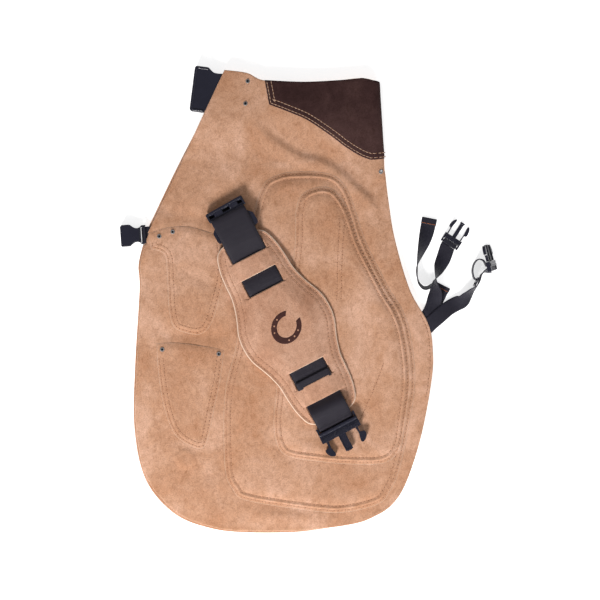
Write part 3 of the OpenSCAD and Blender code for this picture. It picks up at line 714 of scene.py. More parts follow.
# routes of the leg straps: x, y and z in millimetres, and the lean of the webbing in degrees
STRAP_1 = [
    [186, -40, 6, 0], [195, -31, 6, 0], [203, -22, 5.95, 0], [208, -13, 4.7, 0], [211, -3, 4.5, -5],
    [213, 8, 6.6, -34], [212.5, 18, 9.4, -64], [212.5, 26, 11, -88], [214.5, 34, 10, -116],
    [218, 43, 7.4, -148], [223, 53, 5, -170], [226.4, 62.4, 4.1, -180], [228.6, 69.2, 4, -180],
    [230.3, 72, 4, -180],
]
STRAP_1_TAIL = [
    [208.6, 20, 10.8, 84], [203, 15.6, 10.6, 78], [196.5, 15, 10.4, 76], [190.5, 21, 10.4, 80],
    [187.6, 31, 10.4, 88], [187.4, 42, 10.4, 90], [190, 54, 10.4, 74], [194, 67, 9, 52], [198.6, 81, 5.6, 26],
    [202, 94, 2.6, 8], [205, 109, 1.2, 0],
]
STRAP_2 = [
    [190, -50, 7.6, 0], [199, -40, 7.6, 0], [208, -31.5, 7.6, 0], [218, -23, 7, 0], [229, -13.5, 5.4, 0],
    [240, -7, 3.4, 4], [249, -3, 4.4, 20], [255, 4, 7.2, 46], [261, 11, 9.8, 68], [268, 17.5, 11.4, 84],
    [271.5, 25, 12.4, 90], [273.5, 32, 13, 90], [278, 37, 13, 82], [283, 38.4, 13, 70], [287, 39.2, 13.4, 66],
]
STRAP_2_LOOP = [
    [281, 43.6, 11.4, 90], [279, 47.6, 11.4, 90], [276, 52, 11.8, 90], [269.4, 53, 12.2, 90],
    [263.8, 47, 12.4, 90], [261.8, 38, 12.4, 90], [263.2, 29.8, 12.2, 90], [266, 25.9, 12, 88],
]
STRAP_2_TAIL = [[212, -5.5, 0.9, 0], [216, 2.5, 0.9, 0], [220, 10.5, 0.9, 0], [224, 18.3, 0.9, 0]]


def leg_strap(name, route_mm):
    """A leg strap along its route, in the same points as its CAD solid. Returns it and its centreline."""
    fine = curve_through(np.array(route_mm, float) * [MM, MM, MM, 1], 1.6 * MM)
    way, across = across_of(fine)
    made = strip(name, fine[:, :3], across, np.cross(way, across), LEG_WEB_WIDTH, WEB, LEG_WEB)
    return assign(made, "leg_webbing", "root", name.replace("_webbing", "")), fine


def hem(name, route, reach):
    """The folded end of a leg strap: a second layer over its last points, with a row of stitches across it."""
    part = route[-reach:]
    way, across = across_of(part)
    up = np.cross(way, across)
    made = strip(name, part[:, :3] + up * 1.1 * MM, across, up, LEG_WEB_WIDTH * 1.03, WEB * 0.8, LEG_WEB)
    row = [part[1, :3] + up[1] * 1.9 * MM + across[1] * s * MM for s in np.linspace(-8.2, 8.2, 9)]
    dashes = thread_dashes(name + "_stitches", row, across[1], up[1], 1.5 * MM, 0.35 * MM, ORANGE_THREAD)
    dashes.parent = made
    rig.slot(dashes, "leg_webbing")
    return assign(made, "leg_webbing", "root")


def thread_dashes(name, places, directions, ups, length, radius, material, hole_shade_material=None):
    """One short arched stitch at each place, its ends sunk in, with a flat dark disc after it: painted shade of its
    needle hole.
    """
    # share of the length, rise and girth in radii
    shape = [(-0.5, -1.0, 0.7), (-0.36, 0.25, 1.0), (0.0, 0.55, 1.1), (0.36, 0.25, 1.0), (0.5, -1.0, 0.7)]
    sides = 6
    places = np.asarray(places, float)
    directions = np.broadcast_to(directions, places.shape)
    ups = np.broadcast_to(ups, places.shape)
    points, faces, slots = [], [], []
    for c, d, u in zip(places, directions, ups):
        side = np.cross(d, u)
        first = len(points)
        for share, rise, girth in shape:
            for k in range(sides):
                a = 2 * math.pi * k / sides
                points.append(c + d * share * length + u * (rise * radius + math.sin(a) * radius * girth)
                              + side * math.cos(a) * radius * girth)
        for i in range(len(shape) - 1):
            for k in range(sides):
                a, b = first + i * sides + k, first + i * sides + (k + 1) % sides
                faces.append((a, b, b + sides, a + sides))
                slots.append(0)
        # painted shade: a flat dark disc just above the leather, in place of the needle hole's shade
        if hole_shade_material is not None:
            centre = c + d * length * 0.66
            first = len(points)
            points += [centre + u * 0.12 * MM + (d * math.cos(a) + side * math.sin(a)) * radius * 1.7
                       for a in np.arange(8) * math.pi / 4]
            faces.append(tuple(range(first + 7, first - 1, -1)))
            slots.append(1)
    materials = [material] + ([hole_shade_material] if hole_shade_material else [])
    return make_object(name, points, faces, materials, slots)


def on_strap_1_male(points):
    """Points of the first strap's male buckle: u from its bar towards the tongue, v across, w up."""
    flat = turned(points[:, :2], math.radians(57)) + mm(231.6, 74)
    return at_height(flat, points[:, 2] + 1.2 * MM)


def on_strap_2_male(points):
    """The same for the second strap's male buckle, which leans on its edge."""
    lean = math.radians(66)
    u, v, w = (points - mm(0, 0, 2.8)).T
    flat = np.stack([u, v * math.cos(lean) - w * math.sin(lean)], 1)
    high = v * math.sin(lean) + w * math.cos(lean) + 13.4 * MM
    return at_height(turned(flat, math.radians(105)) + mm(288.6, 40), high)


def strap_male_details(strap_name, frame_of):
    """The webbing around a leg strap's bar, and the ribs moulded on its male buckle."""
    ribs = [
        (4.4, 6.4, -12.2, 12.2, 4.4, 6.4), (8.2, 10.4, -12.2, 12.2, 4.6, 6.1),
        (10, 33.4, -2.6, -1.2, 0.9, 4.8), (10, 33.4, 1.2, 2.6, 0.9, 4.8),
        (31.6, 33.8, -3.4, 3.4, 1.0, 4.6)]
    return [
        blocks(strap_name + "_bar_wrap", frame_of, [(-2.3, 3.6, -9.9, 9.9, 0.7, 4.9)], "root", LEG_WEB, 0.9),
        blocks(strap_name + "_male_ribs", frame_of, ribs, "root", BLACK_PLASTIC, 0.4)]


def free_strap(strap, line, length, far_end, others):
    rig.cord(strap, exit=line[0, :3], length=length, diameter=LEG_WEB_WIDTH, far_end=far_end, stiffness="limp",
            lay="loose", path=line[:, :3], with_pieces=others)


def add_leg_straps():
    on_strap_1 = ["strap_1_male", "strap_1_prong_a", "strap_1_prong_b"]
    on_strap_1 += strap_male_details("strap_1", on_strap_1_male)
    on_strap_2 = ["strap_2_slider", "strap_2_male", "strap_2_prong_a", "strap_2_prong_b"]
    on_strap_2 += strap_male_details("strap_2", on_strap_2_male)
    first, line = leg_strap("strap_1_webbing", STRAP_1)
    free_strap(first, line, 0.127, "connector", on_strap_1)
    tail, line = leg_strap("strap_1_tail_webbing", STRAP_1_TAIL)
    free_strap(tail, line, 0.120, "bare", [hem("strap_1_tail_hem", line, 7)])
    loop, _ = leg_strap("strap_2_loop_webbing", STRAP_2_LOOP)
    short, line = leg_strap("strap_2_tail_webbing", STRAP_2_TAIL)
    short_end = hem("strap_2_tail_hem", line, 5)
    second, line = leg_strap("strap_2_webbing", STRAP_2)
    free_strap(second, line, 0.138, "connector", on_strap_2 + [loop, short, short_end])


# ---- plan of the apron: outlines, fold and seams

def fold_edge():
    """(x, y) along the folded edge at the waist, from the crotch up."""
    co = np.array([v.co for v in NODES["hide_spine"].data.vertices])
    stations = np.unique(co[:, 1].round(5))
    return np.array([(co[np.abs(co[:, 1] - y) < 1e-5, 0].max(), y) for y in stations])


FOLD = fold_edge()


def over_the_fold(loop, from_y):
    """A CAD outline that stops at the hinge line, carried on to the folded edge. It runs anticlockwise."""
    cut = (loop[:, 0] > HINGE_X - 1.5 * MM) & (loop[:, 1] > from_y - 1.5 * MM)
    first = next(i for i in range(len(loop)) if cut[i] and not cut[i - 1])
    kept = np.roll(loop, -first, 0)[~np.roll(cut, -first)]
    edge = FOLD[FOLD[:, 1] >= from_y - 0.5 * MM]
    return np.concatenate([edge, kept])


LEG = resample(over_the_fold(loops_of("left_leg_panel")[0], 178 * MM), 2.2 * MM)
YOKE_PLAN = resample(over_the_fold(loops_of("left_yoke")[0], 188 * MM), 2 * MM)
OUTER = resample(loops_of("left_outer_patch")[0], 2 * MM)
INNER = resample(loops_of("left_inner_patch")[0], 2 * MM)
UPPER_POCKET = resample(loops_of("left_upper_pocket")[0], 2 * MM)
LOWER_POCKET = resample(loops_of("left_lower_pocket")[0], 2 * MM)
PAD_PLAN = loops_of("pad_back")[0]


def seam_rows(loop, insets, keep=None):
    """Rows at several insets of an outline, in millimetres, closed or cut open where keep says no."""
    rows = []
    for by in insets:
        row = inset(loop, by * MM)
        if keep is None:
            rows.append(closed(row))
        else:
            kept = keep(row)
            start = next(i for i in range(len(row)) if kept[i] and not kept[i - 1])
            rows.append(np.roll(row, -start, 0)[np.roll(kept, -start)])
    return rows


def free_edge(loop, by):
    """A row inside the part of an outline that isn't on the hide's own edge."""
    free = depth_in(loop, LEG) > 0.8 * MM
    start = next(i for i in range(len(loop)) if free[i] and not free[i - 1])
    row = loop + by * MM * left_of(np.roll(loop, -1, 0) - np.roll(loop, 1, 0))
    return np.roll(row, -start, 0)[:free.sum()]


OUTER_ROWS = seam_rows(OUTER, (3, 9))
INNER_ROWS = seam_rows(INNER, (3, 9))
UPPER_POCKET_ROWS = seam_rows(UPPER_POCKET, (2.6, 8), lambda p: p[:, 1] < 78 * MM)
LOWER_POCKET_ROWS = seam_rows(LOWER_POCKET, (2.6, 8), lambda p: p[:, 1] < -78 * MM)
YOKE_ROWS = [free_edge(YOKE_PLAN, by) for by in (2.4, 8)]
HEM_ROWS = seam_rows(LEG, (4,), lambda p: (p[:, 0] > 190 * MM) & (p[:, 1] < 0) & (p[:, 1] > -136 * MM))
LINING_ROWS = [
    curve_through(mm((84, 112), (81, 60), (79.5, -1)), 2 * MM),
    curve_through(mm((90.5, 108), (87, 60), (85.5, -1)), 2 * MM),
    curve_through(mm((143, -85), (130, -119), (116, -151), (97, -189)), 2 * MM),
]
near_seam = Near(OUTER_ROWS + INNER_ROWS)
near_pocket_seam = Near(UPPER_POCKET_ROWS + LOWER_POCKET_ROWS + YOKE_ROWS + HEM_ROWS + LINING_ROWS)


def busy(flat):
    """Where a sheet needs a finer mesh."""
    return np.minimum(near_seam(flat), near_pocket_seam(flat)) < 3.4 * MM


WAIST_RIVETS = mm((-40, 292), (-43, 262))
LEG_RIVETS = mm((-159, 84), (-141, 90))
POCKET_RIVETS = mm((-155, -68), (-79, -74))
MAGNET = mm((-124, -215))[0]


def climb(y):
    share = np.clip((y - CLIMB[0]) / (CLIMB[1] - CLIMB[0]), 0, 1)
    return (1 - np.cos(np.pi * share)) / 2


PEEK = mm(-3.0, -2.6)                      # how far the lower half reaches past the upper one


def peek_share(flat):
    """How far the lower half reaches out in x and y, from 0 at the waist and the crotch to 1."""
    x, y = flat.T
    outer = (1 - smooth(x, -130 * MM, -40 * MM)) * (1 - smooth(y, 150 * MM, 280 * MM))
    hem = (1 - smooth(y, -290 * MM, -150 * MM)) * (1 - smooth(x, 20 * MM, 90 * MM))
    return np.stack([np.maximum(outer, 0.35 * hem), hem], 1)


def place(flat, height, side):
    """Where a point of the plan lies, at a height above its hide's inner face.

    side is 1 on the upper half and -1 on the lower one. Past the hinge line the waist rolls round the fold.
    """
    if side < 0:
        flat = flat + PEEK * peek_share(flat)
    x, y = flat.T
    low = LOWER_LEG + (LOWER_WAIST - LOWER_LEG) * climb(y)
    high = UPPER_LEG + (UPPER_WAIST - UPPER_LEG) * climb(y)
    middle, reach = (low + high) / 2, (high - low) / 2 + height - HIDE
    depth = np.interp(y, FOLD[:, 1], FOLD[:, 0] - HINGE_X)
    turn = np.clip((x - HINGE_X) / depth, 0, 1) * np.pi / 2
    folded = smooth(y, 166 * MM, 186 * MM) * (x > HINGE_X)
    rolled = HINGE_X + (depth + height - HIDE) * np.sin(turn)
    return np.stack([
        x + folded * (rolled - x), y, middle + side * reach * (1 + folded * (np.cos(turn) - 1))], 1)


# ---- relief of the draped upper half

def rise_along(flat, line, width, height):
    """A soft ridge, or a valley for a negative height, along a line."""
    return height * np.exp(-(distance(flat, line) / width) ** 2)


def slow_noise(flat, size_x, size_y, layer):
    """Smooth noise over the plan. A larger size gives smaller waves."""
    return np.array([noise.noise(Vector((x * size_x, y * size_y, layer))) for x, y in flat])


# the crease below the yoke, and the smaller creases: line, half-width and height in millimetres
DRAPE_STEP = curve_through(
    mm((-33, 231), (-2, 208), (28, 190), (57, 183), (81, 169), (102, 150), (126, 130)), 4 * MM)
CREASES = [
    (((-73, -262), (-74, -282), (-78, -304)), 7.5, -1.5),
    (((-92, -256), (-94, -280), (-98, -300)), 8.0, 1.2),
    (((-128, 36), (-104, 27), (-80, 15)), 9.0, -0.8),
    (((-182, -123), (-168, -122.5), (-155, -124.5)), 1.3, -0.35),
    (((-160, -150), (-150, -190), (-158, -230)), 12.0, -0.9),
    (((-60, 176), (-90, 150), (-112, 128)), 16.0, 0.9),
    (((-150, 118), (-118, 112), (-80, 104)), 9.0, -1.0),
    (((-150, -46), (-118, -50), (-74, -52)), 8.0, -1.1),
    (((60, 214), (96, 190), (126, 166)), 13.0, 0.7),
    (((150, 96), (165, 50), (188, 6)), 10.0, 0.6),
    (((-20, -292), (30, -296), (80, -292)), 9.0, 0.9),
]


def drape(flat):
    """Slow rises and hollows of the upper half, from the way it lies."""
    x, y = flat.T
    swell = (slow_noise(flat, 13, 11, 2.3) + 0.45 * slow_noise(flat, 34, 27, 7.1)) * 0.9 * MM
    waist = climb(y)
    swell *= 1 - waist * (x < -24 * MM)
    step, side = nearest_leg(flat, DRAPE_STEP)
    step *= side
    ends = smooth(x, -40 * MM, 0) * (1 - smooth(x, 118 * MM, 142 * MM))
    swell += 1.6 * MM * ends * np.exp(-((step + 3 * MM) / (9 * MM)) ** 2)
    swell -= 2.4 * MM * ends * smooth(step, 0, 11 * MM) * (1 - smooth(step, 14 * MM, 60 * MM))
    for line, width, height in CREASES:
        swell += rise_along(flat, mm(*line), width * MM, height * MM)
    swell += 1.5 * MM * (1 - smooth(np.hypot(*(flat - MAGNET).T), 9 * MM, 16 * MM))
    rim = depth_in(flat, LEG)
    droop = (1 - smooth(rim, 0, 24 * MM)) * (1 - waist) * (1 - smooth(x, 118 * MM, 126 * MM) * (y > 160 * MM))
    droop *= smooth(np.hypot(x + 178 * MM, y - 86 * MM), 26 * MM, 44 * MM)
    return swell - droop * (1.5 + 0.8 * slow_noise(flat, 22, 22, 4.7)) * MM


def pillow(flat):
    """The patches stand proud inside their seams, and the hide is drawn down just outside them."""
    rise = np.zeros(len(flat))
    for plan, height in ((OUTER, 1.5), (INNER, 1.3)):
        d = depth_in(flat, plan)
        rise += height * MM * smooth(d, 7 * MM, 20 * MM) * (1 - 0.55 * smooth(d, 26 * MM, 60 * MM))
        rise -= 0.6 * MM * smooth(d, -14 * MM, -1 * MM) * (1 - smooth(d, 0, 10 * MM))
        rise += 0.7 * MM * np.exp(-((d - 6 * MM) / (2.0 * MM)) ** 2)
    return rise


def relief(flat, side):
    """How far the leather stands off its level place."""
    groove = 0.9 * np.exp(-(near_seam(flat) / (1.9 * MM)) ** 2)
    groove = np.maximum(groove, 0.4 * np.exp(-(near_pocket_seam(flat) / (1.4 * MM)) ** 2))
    if side < 0:
        return -0.35 * MM * groove
    held = np.ones(len(flat))
    for p in np.concatenate([WAIST_RIVETS, LEG_RIVETS, POCKET_RIVETS]):
        held = np.minimum(held, smooth(np.hypot(*(flat - p).T), 4 * MM, 14 * MM))
    for across in (-28, 0, 28):
        bar = on_webbing(mm((143, across, 0)))[0, :2]
        held = np.minimum(held, 0.3 + 0.7 * smooth(np.hypot(*(flat - bar).T), 8 * MM, 34 * MM))
    return held * (drape(flat) + pillow(flat)) - 0.72 * MM * groove * np.minimum(1, held + 0.3)


# ---- leather sheets

def skive(depth, reach, thin):
    """Share of a leather's thickness at a depth inside its edge: the rim is pared and pressed thin."""
    return thin + (1 - thin) * smooth(depth, 0, reach)


def layer(plan, base, thickness, gap=0.02 * MM, pared=(4.5 * MM, 0.35), gape=None):
    """How a leather lies: height above the hide's inner face, gap under it, and how its rim is pared."""
    return {"plan": plan, "base": base, "thickness": thickness, "gap": gap, "pared": pared, "gape": gape}


# gape: left and right end, foot and mouth of a pocket, and how far its mouth stands off, in millimetres
LAYERS = {
    "hide": layer(LEG, 0.0, HIDE, 0.0, (4.5 * MM, 1.0)),
    "outer_wear_patch": layer(OUTER, HIDE, PATCH),
    "inner_wear_patch": layer(INNER, HIDE + PATCH, PATCH),
    "waist_yoke": layer(YOKE_PLAN, HIDE, YOKE, 0.03 * MM, (2 * MM, 0.7)),
    "upper_knife_pocket": layer(
        UPPER_POCKET, HIDE, PATCH, pared=(8 * MM, 0.3), gape=(-140, -84, 30, 96, 0.3)),
    "lower_knife_pocket": layer(
        LOWER_POCKET, HIDE, PATCH, pared=(8 * MM, 0.3), gape=(-152, -80, -118, -62, 0.45)),
}


def lift_of(name, flat, side):
    """How far a pocket of the upper half stands off the hide: most in the middle of its mouth."""
    if LAYERS[name]["gape"] is None or side < 0:
        return 0.0
    left, right, foot, mouth, height = LAYERS[name]["gape"]
    x, y = (flat / MM).T
    across = np.sin(np.pi * np.clip((x - left) / (right - left), 0, 1))
    return height * MM * across * smooth(y, foot, mouth)


def outer_face(name, flat, side, depth=None):
    """Height of a leather's outer face above the hide's inner face."""
    lies = LAYERS[name]
    depth = depth_in(flat, lies["plan"]) if depth is None else depth
    return lies["base"] + lift_of(name, flat, side) + lies["thickness"] * skive(depth, *lies["pared"])


def top_of_patches(flat, side):
    """Height of whichever leather is outermost on the leg, away from the pockets."""
    on_outer = HIDE + (outer_face("outer_wear_patch", flat, side) - HIDE) * (depth_in(flat, OUTER) > 0)
    return np.where(depth_in(flat, INNER) > 0, outer_face("inner_wear_patch", flat, side), on_outer)


def leather(name, side, slot, nodes):
    """One sheet of leather in one half of the apron."""
    lies = LAYERS[name]
    plan, level = lies["plan"], lies["base"] + lies["gap"]
    spacing, fine = (2.6 * MM, 1.15 * MM) if side > 0 else (4.0 * MM, 1.9 * MM)
    coarse = stagger(plan, spacing)
    dense = stagger(plan, fine)
    between = np.concatenate([coarse[~busy(coarse)], dense[busy(dense)]])
    inner = np.concatenate([inset(plan, 0.7 * MM), between[depth_in(between, plan) > 1.6 * MM]])
    flat, faces = triangulate(plan, inner)
    depth = depth_in(flat, plan)
    lift = relief(flat, side)
    rounded = 0.3 * MM * (1 - smooth(depth, 0, 0.7 * MM))
    upper = place(flat, outer_face(name, flat, side, depth) + lift - rounded, side)
    lower = place(flat, level + lift_of(name, flat, side) + lift + rounded, side)
    if side < 0:
        upper, lower = lower, upper
    materials = [YOKE_SUEDE, YOKE_CUT] if name == "waist_yoke" else [TAN, CUT]
    made = solid_sheet(("upper_" if side > 0 else "lower_") + name, flat, faces, upper, lower, materials)
    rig.slot(made, slot)
    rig.replaces(made, *nodes)
    size = plan.max(0) - plan.min(0)
    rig.sheet(made, flat=(float(size[0]), float(size[1])), held="laid", rests_on=[], area=abs(area_of(plan)))
    move_with(made, side)


def stagger(plan, spacing):
    """A staggered grid of points over the box around an outline."""
    low, high = plan.min(0), plan.max(0)
    rows = np.arange(low[1], high[1], spacing * 0.866)
    columns = np.arange(low[0], high[0], spacing)
    return np.array([(x + (spacing / 2 if j % 2 else 0), y) for j, y in enumerate(rows) for x in columns])


def triangulate(rim, inner):
    """Triangles over an outline that use its own points and the inner ones."""
    count = len(rim)
    points = [Vector(p) for p in np.concatenate([rim, inner])]
    found = delaunay_2d_cdt(points, [(i, (i + 1) % count) for i in range(count)], [], 1, 1e-6)
    flat = np.array([tuple(v) for v in found[0]])
    faces = np.array([f for f in found[2] if len(f) == 3])
    return flat, faces


def move_with(piece, side):
    """Sheets of the upper half bend at the hinge line. Those of the lower half stay put."""
    if side > 0:
        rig.blend(piece, "root", "right_half", start=(HINGE_X + 5 * MM, 0, 0), end=(HINGE_X - 9 * MM, 0, 0))
    else:
        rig.ride(piece, "root")


def stitch_rows(name, rows, height, side, material, slot, length=3.3 * MM, radius=0.36 * MM):
    """Stitches along rows of the plan, on the surface whose height is given."""
    spots, ways = stitch_spots(rows)
    step = 0.4 * MM
    across = np.stack([-ways[:, 1], ways[:, 0]], 1)

    def surface(at):
        return place(at, height(at, side) + relief(at, side), side)

    centre, ahead, beside = surface(spots), surface(spots + ways * step), surface(spots + across * step)
    direction = unit(ahead - centre)
    up = unit(np.cross(direction, beside - centre) * side)
    up = up * np.sign(up[:, 2:3] * side)
    made = thread_dashes(name, centre, direction, up, length, radius, material, NEEDLE_HOLE_SHADE)
    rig.slot(made, slot)
    move_with(made, side)


def stitch_spots(rows, pitch=4.9 * MM):
    """Places and directions of stitches along several rows."""
    spots, ways = zip(*(spaced_along(row, pitch) for row in rows))
    return np.concatenate(spots), np.concatenate(ways)


def add_half(side):
    """Every leather sheet of one half, with its seams."""
    half, cad_half = ("upper_", "right_") if side > 0 else ("lower_", "left_")
    # name, slot, CAD node of either half, and CAD nodes that only the upper half has
    for name, slot, node, *more in (
        ("hide", "tan_hide", "leg_panel", "right_leg_flap", "hide_spine"),
        ("outer_wear_patch", "tan_patch", "outer_patch", "right_outer_flap"),
        ("inner_wear_patch", "tan_patch", "inner_patch", "right_inner_flap"),
        ("waist_yoke", "yoke_leather", "yoke", "yoke_spine"),
        ("upper_knife_pocket", "tan_patch", "upper_pocket"),
        ("lower_knife_pocket", "tan_patch", "lower_pocket"),
    ):
        leather(name, side, slot, [cad_half + node] + (more if side > 0 else []))

    def on(name):
        return lambda flat, side: outer_face(name, flat, side)

    for seam, rows, height, slot in (
        ("outer_patch", OUTER_ROWS, top_of_patches, "tan_patch"),
        ("inner_patch", INNER_ROWS + LINING_ROWS, top_of_patches, "tan_patch"),
        ("hem", HEM_ROWS, on("hide"), "tan_hide"),
        ("yoke", YOKE_ROWS, on("waist_yoke"), "yoke_leather"),
        ("upper_pocket", UPPER_POCKET_ROWS, on("upper_knife_pocket"), "tan_patch"),
        ("lower_pocket", LOWER_POCKET_ROWS, on("lower_knife_pocket"), "tan_patch"),
    ):
        look = (PALE_THREAD, slot, 3.9 * MM, 0.42 * MM) if seam == "yoke" else (TAN_THREAD, slot)
        stitch_rows(half + seam + "_stitches", rows, height, side, *look)


# ---- the back-support belt

BELT_AT = mm(12.0, -38.0, 13.9)                     # the middle of the pad's underside
BELT_TURN = math.radians(-61.4)
WEB_SKEW = math.radians(-1.2)
SLITS = mm(57, 82, 107)                             # how far from the middle the webbing goes in or out
MARK_SIZE, MARK_TURN = 46 * MM, math.radians(35.4)


def on_belt(points):
    """Points drawn along the belt, (along, across, height), where they lie on the apron."""
    points = np.asarray(points, float)
    return at_height(turned(points[:, :2], BELT_TURN) + BELT_AT[:2], points[:, 2] + BELT_AT[2])


def on_webbing(points):
    """The same for points drawn along the belt's webbing, which lies a little askew in the pad."""
    points = np.asarray(points, float)
    return on_belt(at_height(turned(points[:, :2], WEB_SKEW), points[:, 2]))


PAD = resample(turned(PAD_PLAN - BELT_AT[:2], -BELT_TURN), 2 * MM, 60)
PAD_ROWS = (4.2 * MM, 10.8 * MM)
PAD_TOP = 10.6 * MM


def windows(along):
    """1 where the webbing shows in front of the pad, 0 where it runs under the leather."""
    a, (out, back, end) = np.abs(along), SLITS
    first = smooth(a, out - 0.1 * MM, out + 0.7 * MM) * (1 - smooth(a, back - 0.7 * MM, back + 0.1 * MM))
    return first + smooth(a, end - 0.1 * MM, end + 0.7 * MM)


def pad_front_height(at):
    """Height of the front leather above the pad's underside."""
    along, across = np.abs(turned(at, -WEB_SKEW)).T
    depth = depth_in(at, PAD)
    high = 4.0 * MM + 2.4 * MM * smooth(depth, 3 * MM, 13 * MM)
    high += (PAD_TOP - 6.4 * MM) * smooth(depth, 9 * MM, 34 * MM)
    for row, sunk in zip(PAD_ROWS, (0.55, 0.5)):
        high -= sunk * MM * np.exp(-((depth - row) / (1.4 * MM)) ** 2)
    high += 0.55 * MM * slow_noise(at, 17, 17, 9.4) * smooth(depth, 10 * MM, 24 * MM)
    shown = windows(along)
    under = 1 - smooth(across, 22 * MM, 30 * MM)
    high = np.where(under > 0, np.maximum(high, 8.6 * MM * under + high * (1 - under)), high)
    strap = 1 - smooth(across, 25.2 * MM, 26.4 * MM)
    high = high * (1 - strap * shown) + 5.0 * MM * strap * shown
    beside = (1 - smooth(across, 26 * MM, 40 * MM)) * (1 - strap)
    high -= 1.0 * MM * beside * shown * smooth(depth, 10 * MM, 20 * MM)
    ends = (1 - strap) * (1 - smooth(across, 28.5 * MM, 29.5 * MM))
    for slit in SLITS:
        high -= 1.6 * MM * np.exp(-((along - slit) / (0.55 * MM)) ** 2) * ends
    return high


def horseshoe(size):
    """The outline of a horseshoe, open end down, standing size high."""
    outer = [(0.43 * size * math.sin(a), -0.5 * size * math.cos(a)) for a in np.linspace(-2.62, 2.62, 41)]
    inner = [(0.276 * size * math.sin(a), -0.33 * size * math.cos(a) + 0.02 * size)
             for a in np.linspace(2.50, -2.50, 37)]
    return np.array(outer + inner)


def add_pad():
    """The pad's front leather over its webbing, its padding and its back leather."""
    def detailed(at):
        """At the slits, the sides of the windows and the stitching."""
        along, across = np.abs(turned(at, -WEB_SKEW)).T
        near = (np.abs(across - 25.8 * MM) < 2 * MM) & (along > SLITS[0] - 2 * MM)
        for slit in SLITS:
            near |= (np.abs(along - slit) < 2 * MM) & (across < 31 * MM)
        depth = depth_in(at, PAD)
        return near | (np.minimum(np.abs(depth - PAD_ROWS[0]), np.abs(depth - PAD_ROWS[1])) < 2 * MM)

    wide, tight = stagger(PAD, 2.6 * MM), stagger(PAD, 0.9 * MM)
    between = np.concatenate([wide[~detailed(wide)], tight[detailed(tight)]])
    inner = np.concatenate([inset(PAD, 1.1 * MM), between[depth_in(between, PAD) > 1.8 * MM]])
    flat, faces = triangulate(PAD, inner)
    top = pad_front_height(flat) - 0.3 * MM * (1 - smooth(depth_in(flat, PAD), 0, 0.7 * MM))
    under = top - np.minimum(PATCH, top - 2.0 * MM)
    back = np.full(len(top), PATCH)
    front = None
    for name, slot, node, upper, lower, materials in (
        ("pad_front_leather", "pad_leather", "pad_front", top, under, [PAD_SUEDE, CUT]),
        ("pad_foam_core", "pad_foam", "pad_foam", under - 0.05 * MM, back + 0.05 * MM, [FOAM, FOAM]),
        ("pad_back_leather", "pad_leather", "pad_back", back, 0 * back, [PAD_SUEDE, CUT]),
    ):
        upper, lower = on_belt(at_height(flat, upper)), on_belt(at_height(flat, lower))
        made = assign(solid_sheet(name, flat, faces, upper, lower, materials), slot, "pad", node)
        front = front or made
    centres = flat[faces].mean(1)
    along, across = turned(centres, -WEB_SKEW).T
    step = (windows(along) > 0.02) & (windows(along) < 0.9) & (np.abs(across) < 25.4 * MM)
    slots = np.zeros(len(front.data.polygons), np.int32)
    slots[:len(faces)] = (depth_in(centres, PAD) < 0.75 * MM) | step
    slots[2 * len(faces):] = 1
    front.data.polygons.foreach_set("material_index", slots)
    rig.padded(front, 0.7)


def add_pad_stitches():
    spots, ways = stitch_spots([closed(inset(PAD, by)) for by in PAD_ROWS])
    along, across = turned(spots, -WEB_SKEW).T
    clear = ~((np.abs(across) < 26 * MM) & (windows(along) > 0.5))
    spots, ways = spots[clear], ways[clear]
    step = 0.4 * MM
    heights = pad_front_height(spots)
    slope = (pad_front_height(spots + ways * step) - heights) / step
    centre = at_height(spots, heights)
    tip = on_belt(centre + unit(at_height(ways, slope)) * MM)
    centre = on_belt(centre)
    stitches = thread_dashes("pad_stitches", centre, (tip - centre) / MM, (0, 0, 1), 3.4 * MM, 0.38 * MM,
                             TAN_THREAD, NEEDLE_HOLE_SHADE)
    assign(stitches, "pad_leather", "pad")


def disc(x, y, radius, top, bottom, sides):
    """Points and faces of a short upright cylinder."""
    turns = np.arange(sides) * 2 * math.pi / sides
    ring = [(x + radius * math.cos(a), y + radius * math.sin(a)) for a in turns]
    points = [(*p, level) for level in (top, bottom) for p in ring]
    faces = [tuple(range(sides)), tuple(range(2 * sides - 1, sides - 1, -1))]
    faces += [(k, k + sides, (k + 1) % sides + sides, (k + 1) % sides) for k in range(sides)]
    return points, faces


def add_pad_mark():
    """A plain horseshoe branded into the pad, with its nail holes."""
    mark = turned(horseshoe(MARK_SIZE), MARK_TURN)
    inner = stagger(mark, 1.2 * MM)
    flat, faces = triangulate(mark, inner[depth_in(inner, mark) > 0.5 * MM])
    heights = pad_front_height(flat)
    top, bottom = (on_belt(at_height(flat, heights + by * MM)) for by in (0.06, -0.2))
    brand = solid_sheet("pad_branded_horseshoe", flat, faces, top, bottom, [BRAND, BRAND], 0)
    assign(brand, "pad_leather", "pad")
    nails = [
        (side * 0.3465 * math.sin(a), -0.4131 * math.cos(a)) for a in (0.75, 1.25, 1.75) for side in (-1, 1)]
    points, faces = [], []
    for x, y in turned(np.array(nails) * MARK_SIZE, MARK_TURN):
        level = pad_front_height(np.array([(x, y)]))[0] + 0.16 * MM
        nail, sides = disc(x, y, 1.1 * MM, level, level - 0.3 * MM, 10)
        faces += [tuple(len(points) + i for i in f) for f in sides]
        points += nail
    marks = make_object("pad_horseshoe_nail_marks", on_belt(points), faces, [PAD_SUEDE], smooth_shade=False)
    assign(marks, "pad_leather", "pad")


# the belt's webbing seen from its edge, in millimetres: its level in the pad, and how it rounds a buckle's bar
WEB_LEVEL = 5.95
MALE_BAR = (143.0, 6.4)
WRAP = 3.05


def around(start, end, steps):
    """Points round the male buckle's bar, from one angle to another in degrees."""
    angles = np.radians(np.linspace(start, end, steps + 1))
    return [(MALE_BAR[0] + WRAP * math.cos(a), MALE_BAR[1] + WRAP * math.sin(a)) for a in angles]


